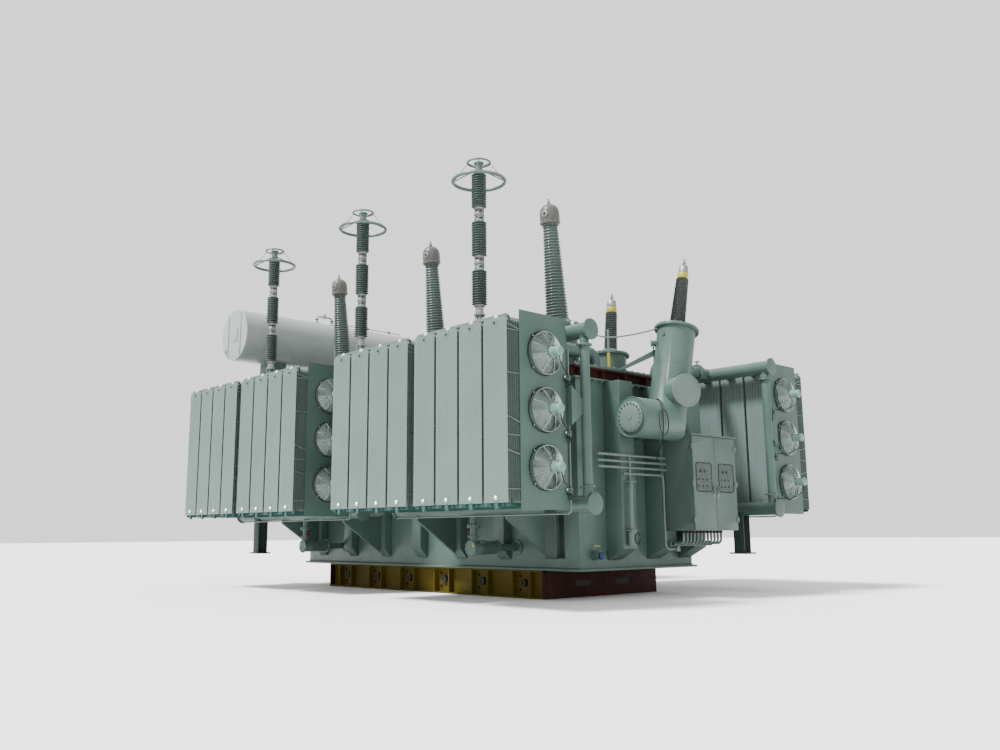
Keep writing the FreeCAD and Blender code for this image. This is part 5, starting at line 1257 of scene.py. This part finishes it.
def make_wall_pipes():
    """Clips on the wall conduits, and the standpipe's collars and hanging coil."""
    clips, collars, coil = Shape(), Shape(), Shape()
    for y in (-1.35, -0.75, -0.25, 0.2):
        for k in range(4 if y > -0.9 else 3):
            clips.torus((4.665, y, 2.48 - 0.106 * k), Y, 0.024, 0.005, 20, 6)
    for z in (1.215, 1.9):
        collars.lathe([(0.04, 0), (0.056, 0.002), (0.056, 0.022), (0.04, 0.024)],
                      (STANDPIPE_X, STANDPIPE_Y, z), UP, 24)
    collars.lathe([(0.04, 0), (0.066, 0), (0.067, 0.01), (0.066, 0.02), (0.04, 0.02)],
                  (STANDPIPE_X, STANDPIPE_Y, 0.93), UP, 24)
    loop = []
    for k in range(17):
        t = 0.6 + 5.4 * k / 16
        loop.append((4.79, -0.69 + 0.07 * math.cos(t), 1.05 + 0.09 * math.sin(t) + 0.01 * math.cos(2 * t)))
    coil.tube(smooth_line(loop, 2), 0.011, 8)
    place("wall_conduit_clips", clips, FIN_PAINT)
    place("standpipe_collars", collars, FIN_PAINT)
    place("standpipe_coil", coil, BLACK)


make_radiators()
make_tie_bars()
make_headers()
make_pumps()
make_fans()
make_bushings()
make_arresters()
make_turret()
make_tank()
make_skid()
make_conservator()
make_cabinet()
make_wall_pipes()

# ---- CAD nodes that keep their shape --------------------------------------------------------------
REFINED = (
    ("skid_side_beams", YELLOW, "skid_yellow", 0.005), ("skid_cross_beams", OXIDE, "red_oxide", 0.005),
    ("tank_floor", PAINT, "tank_paint", 0.005), ("tank_body", PAINT, "tank_paint", 0.005),
    ("tank_cover", PAINT, "tank_paint", 0.006), ("tank_stiffeners", PAINT, "tank_paint", 0.014),
    ("cover_rim", OXIDE, "red_oxide", 0.003), ("cabinet_body", CABINET, "tank_paint", 0.004),
    ("bank_legs", LEG, "leg_paint", 0.004), ("header_brackets", PAINT, "tank_paint", 0.005),
    ("arrester_stands", PAINT, "tank_paint", 0.008), ("conservator_beam", PAINT, "tank_paint", 0.01),
    ("conservator_saddles", PAINT, "tank_paint", 0.006), ("conservator_brackets", PAINT, "tank_paint", 0.01),
    ("conduit_tray", PAINT, "tank_paint", 0.004), ("fan_panel_brackets", PAINT, "tank_paint", 0.002),
    ("end_turret", PAINT, "tank_paint", 0.006), ("hv_turrets", PAINT, "tank_paint", 0.004),
    ("mv_turrets", PAINT, "tank_paint", 0.004), ("top_headers", PAINT, "tank_paint", 0.004),
    ("bottom_headers", PAINT, "tank_paint", 0.004), ("oil_pipes", PAINT, "tank_paint", 0.004),
    ("header_link_pipes", PAINT, "tank_paint", 0.004))
for node, material, slot, width in REFINED:
    refined(node, material, width)

KEPT = {"fan_leads": BLACK, "cabinet_conduits": FIN_PAINT, "wall_conduits": FIN_PAINT,
        "wall_standpipe": FIN_PAINT,
        "conservator_pipes": CONSERVATOR, "radiator_necks": FIN_PAINT}
for name, obj in NODES.items():
    if not obj.hide_render:
        obj.data.materials.clear()
        obj.data.materials.append(KEPT.get(name, PAINT))


# ---- floor and light ----------------------------------------------------------------------------
def make_stage():
    """Pale floor, white sky, one strong sun and a weak one."""
    mesh = bpy.data.meshes.new("floor")
    s = 150.0
    mesh.from_pydata([(-s, -s, 0), (s, -s, 0), (s, s, 0), (-s, s, 0)], [], [(0, 1, 2, 3)])
    mesh.materials.append(surface("floor_pale", (0.80, 0.80, 0.79), 0.9, vary=0.01, bump=0.0,
                                  grime=(0.7, 0.7, 0.7)))
    floor = bpy.data.objects.new("floor", mesh)
    bpy.context.scene.collection.objects.link(floor)
    world = bpy.data.worlds.new("sky")
    world.use_nodes = True
    sky = world.node_tree.nodes["Background"]
    sky.inputs["Color"].default_value = (1.0, 1.0, 1.0, 1)
    sky.inputs["Strength"].default_value = 1.45
    bpy.context.scene.world = world
    for name, toward, energy, angle in (("key", (0.18, 0.57, -0.80), 10.0, 12),
                                        ("fill", (-0.7, 0.5, -0.45), 0.4, 40)):
        data = bpy.data.lights.new(name, "SUN")
        data.energy = energy
        data.angle = math.radians(angle)
        light = bpy.data.objects.new(name, data)
        light.rotation_mode = "QUATERNION"
        light.rotation_quaternion = Vector(toward).to_track_quat("-Z", "Y")
        bpy.context.scene.collection.objects.link(light)


make_stage()
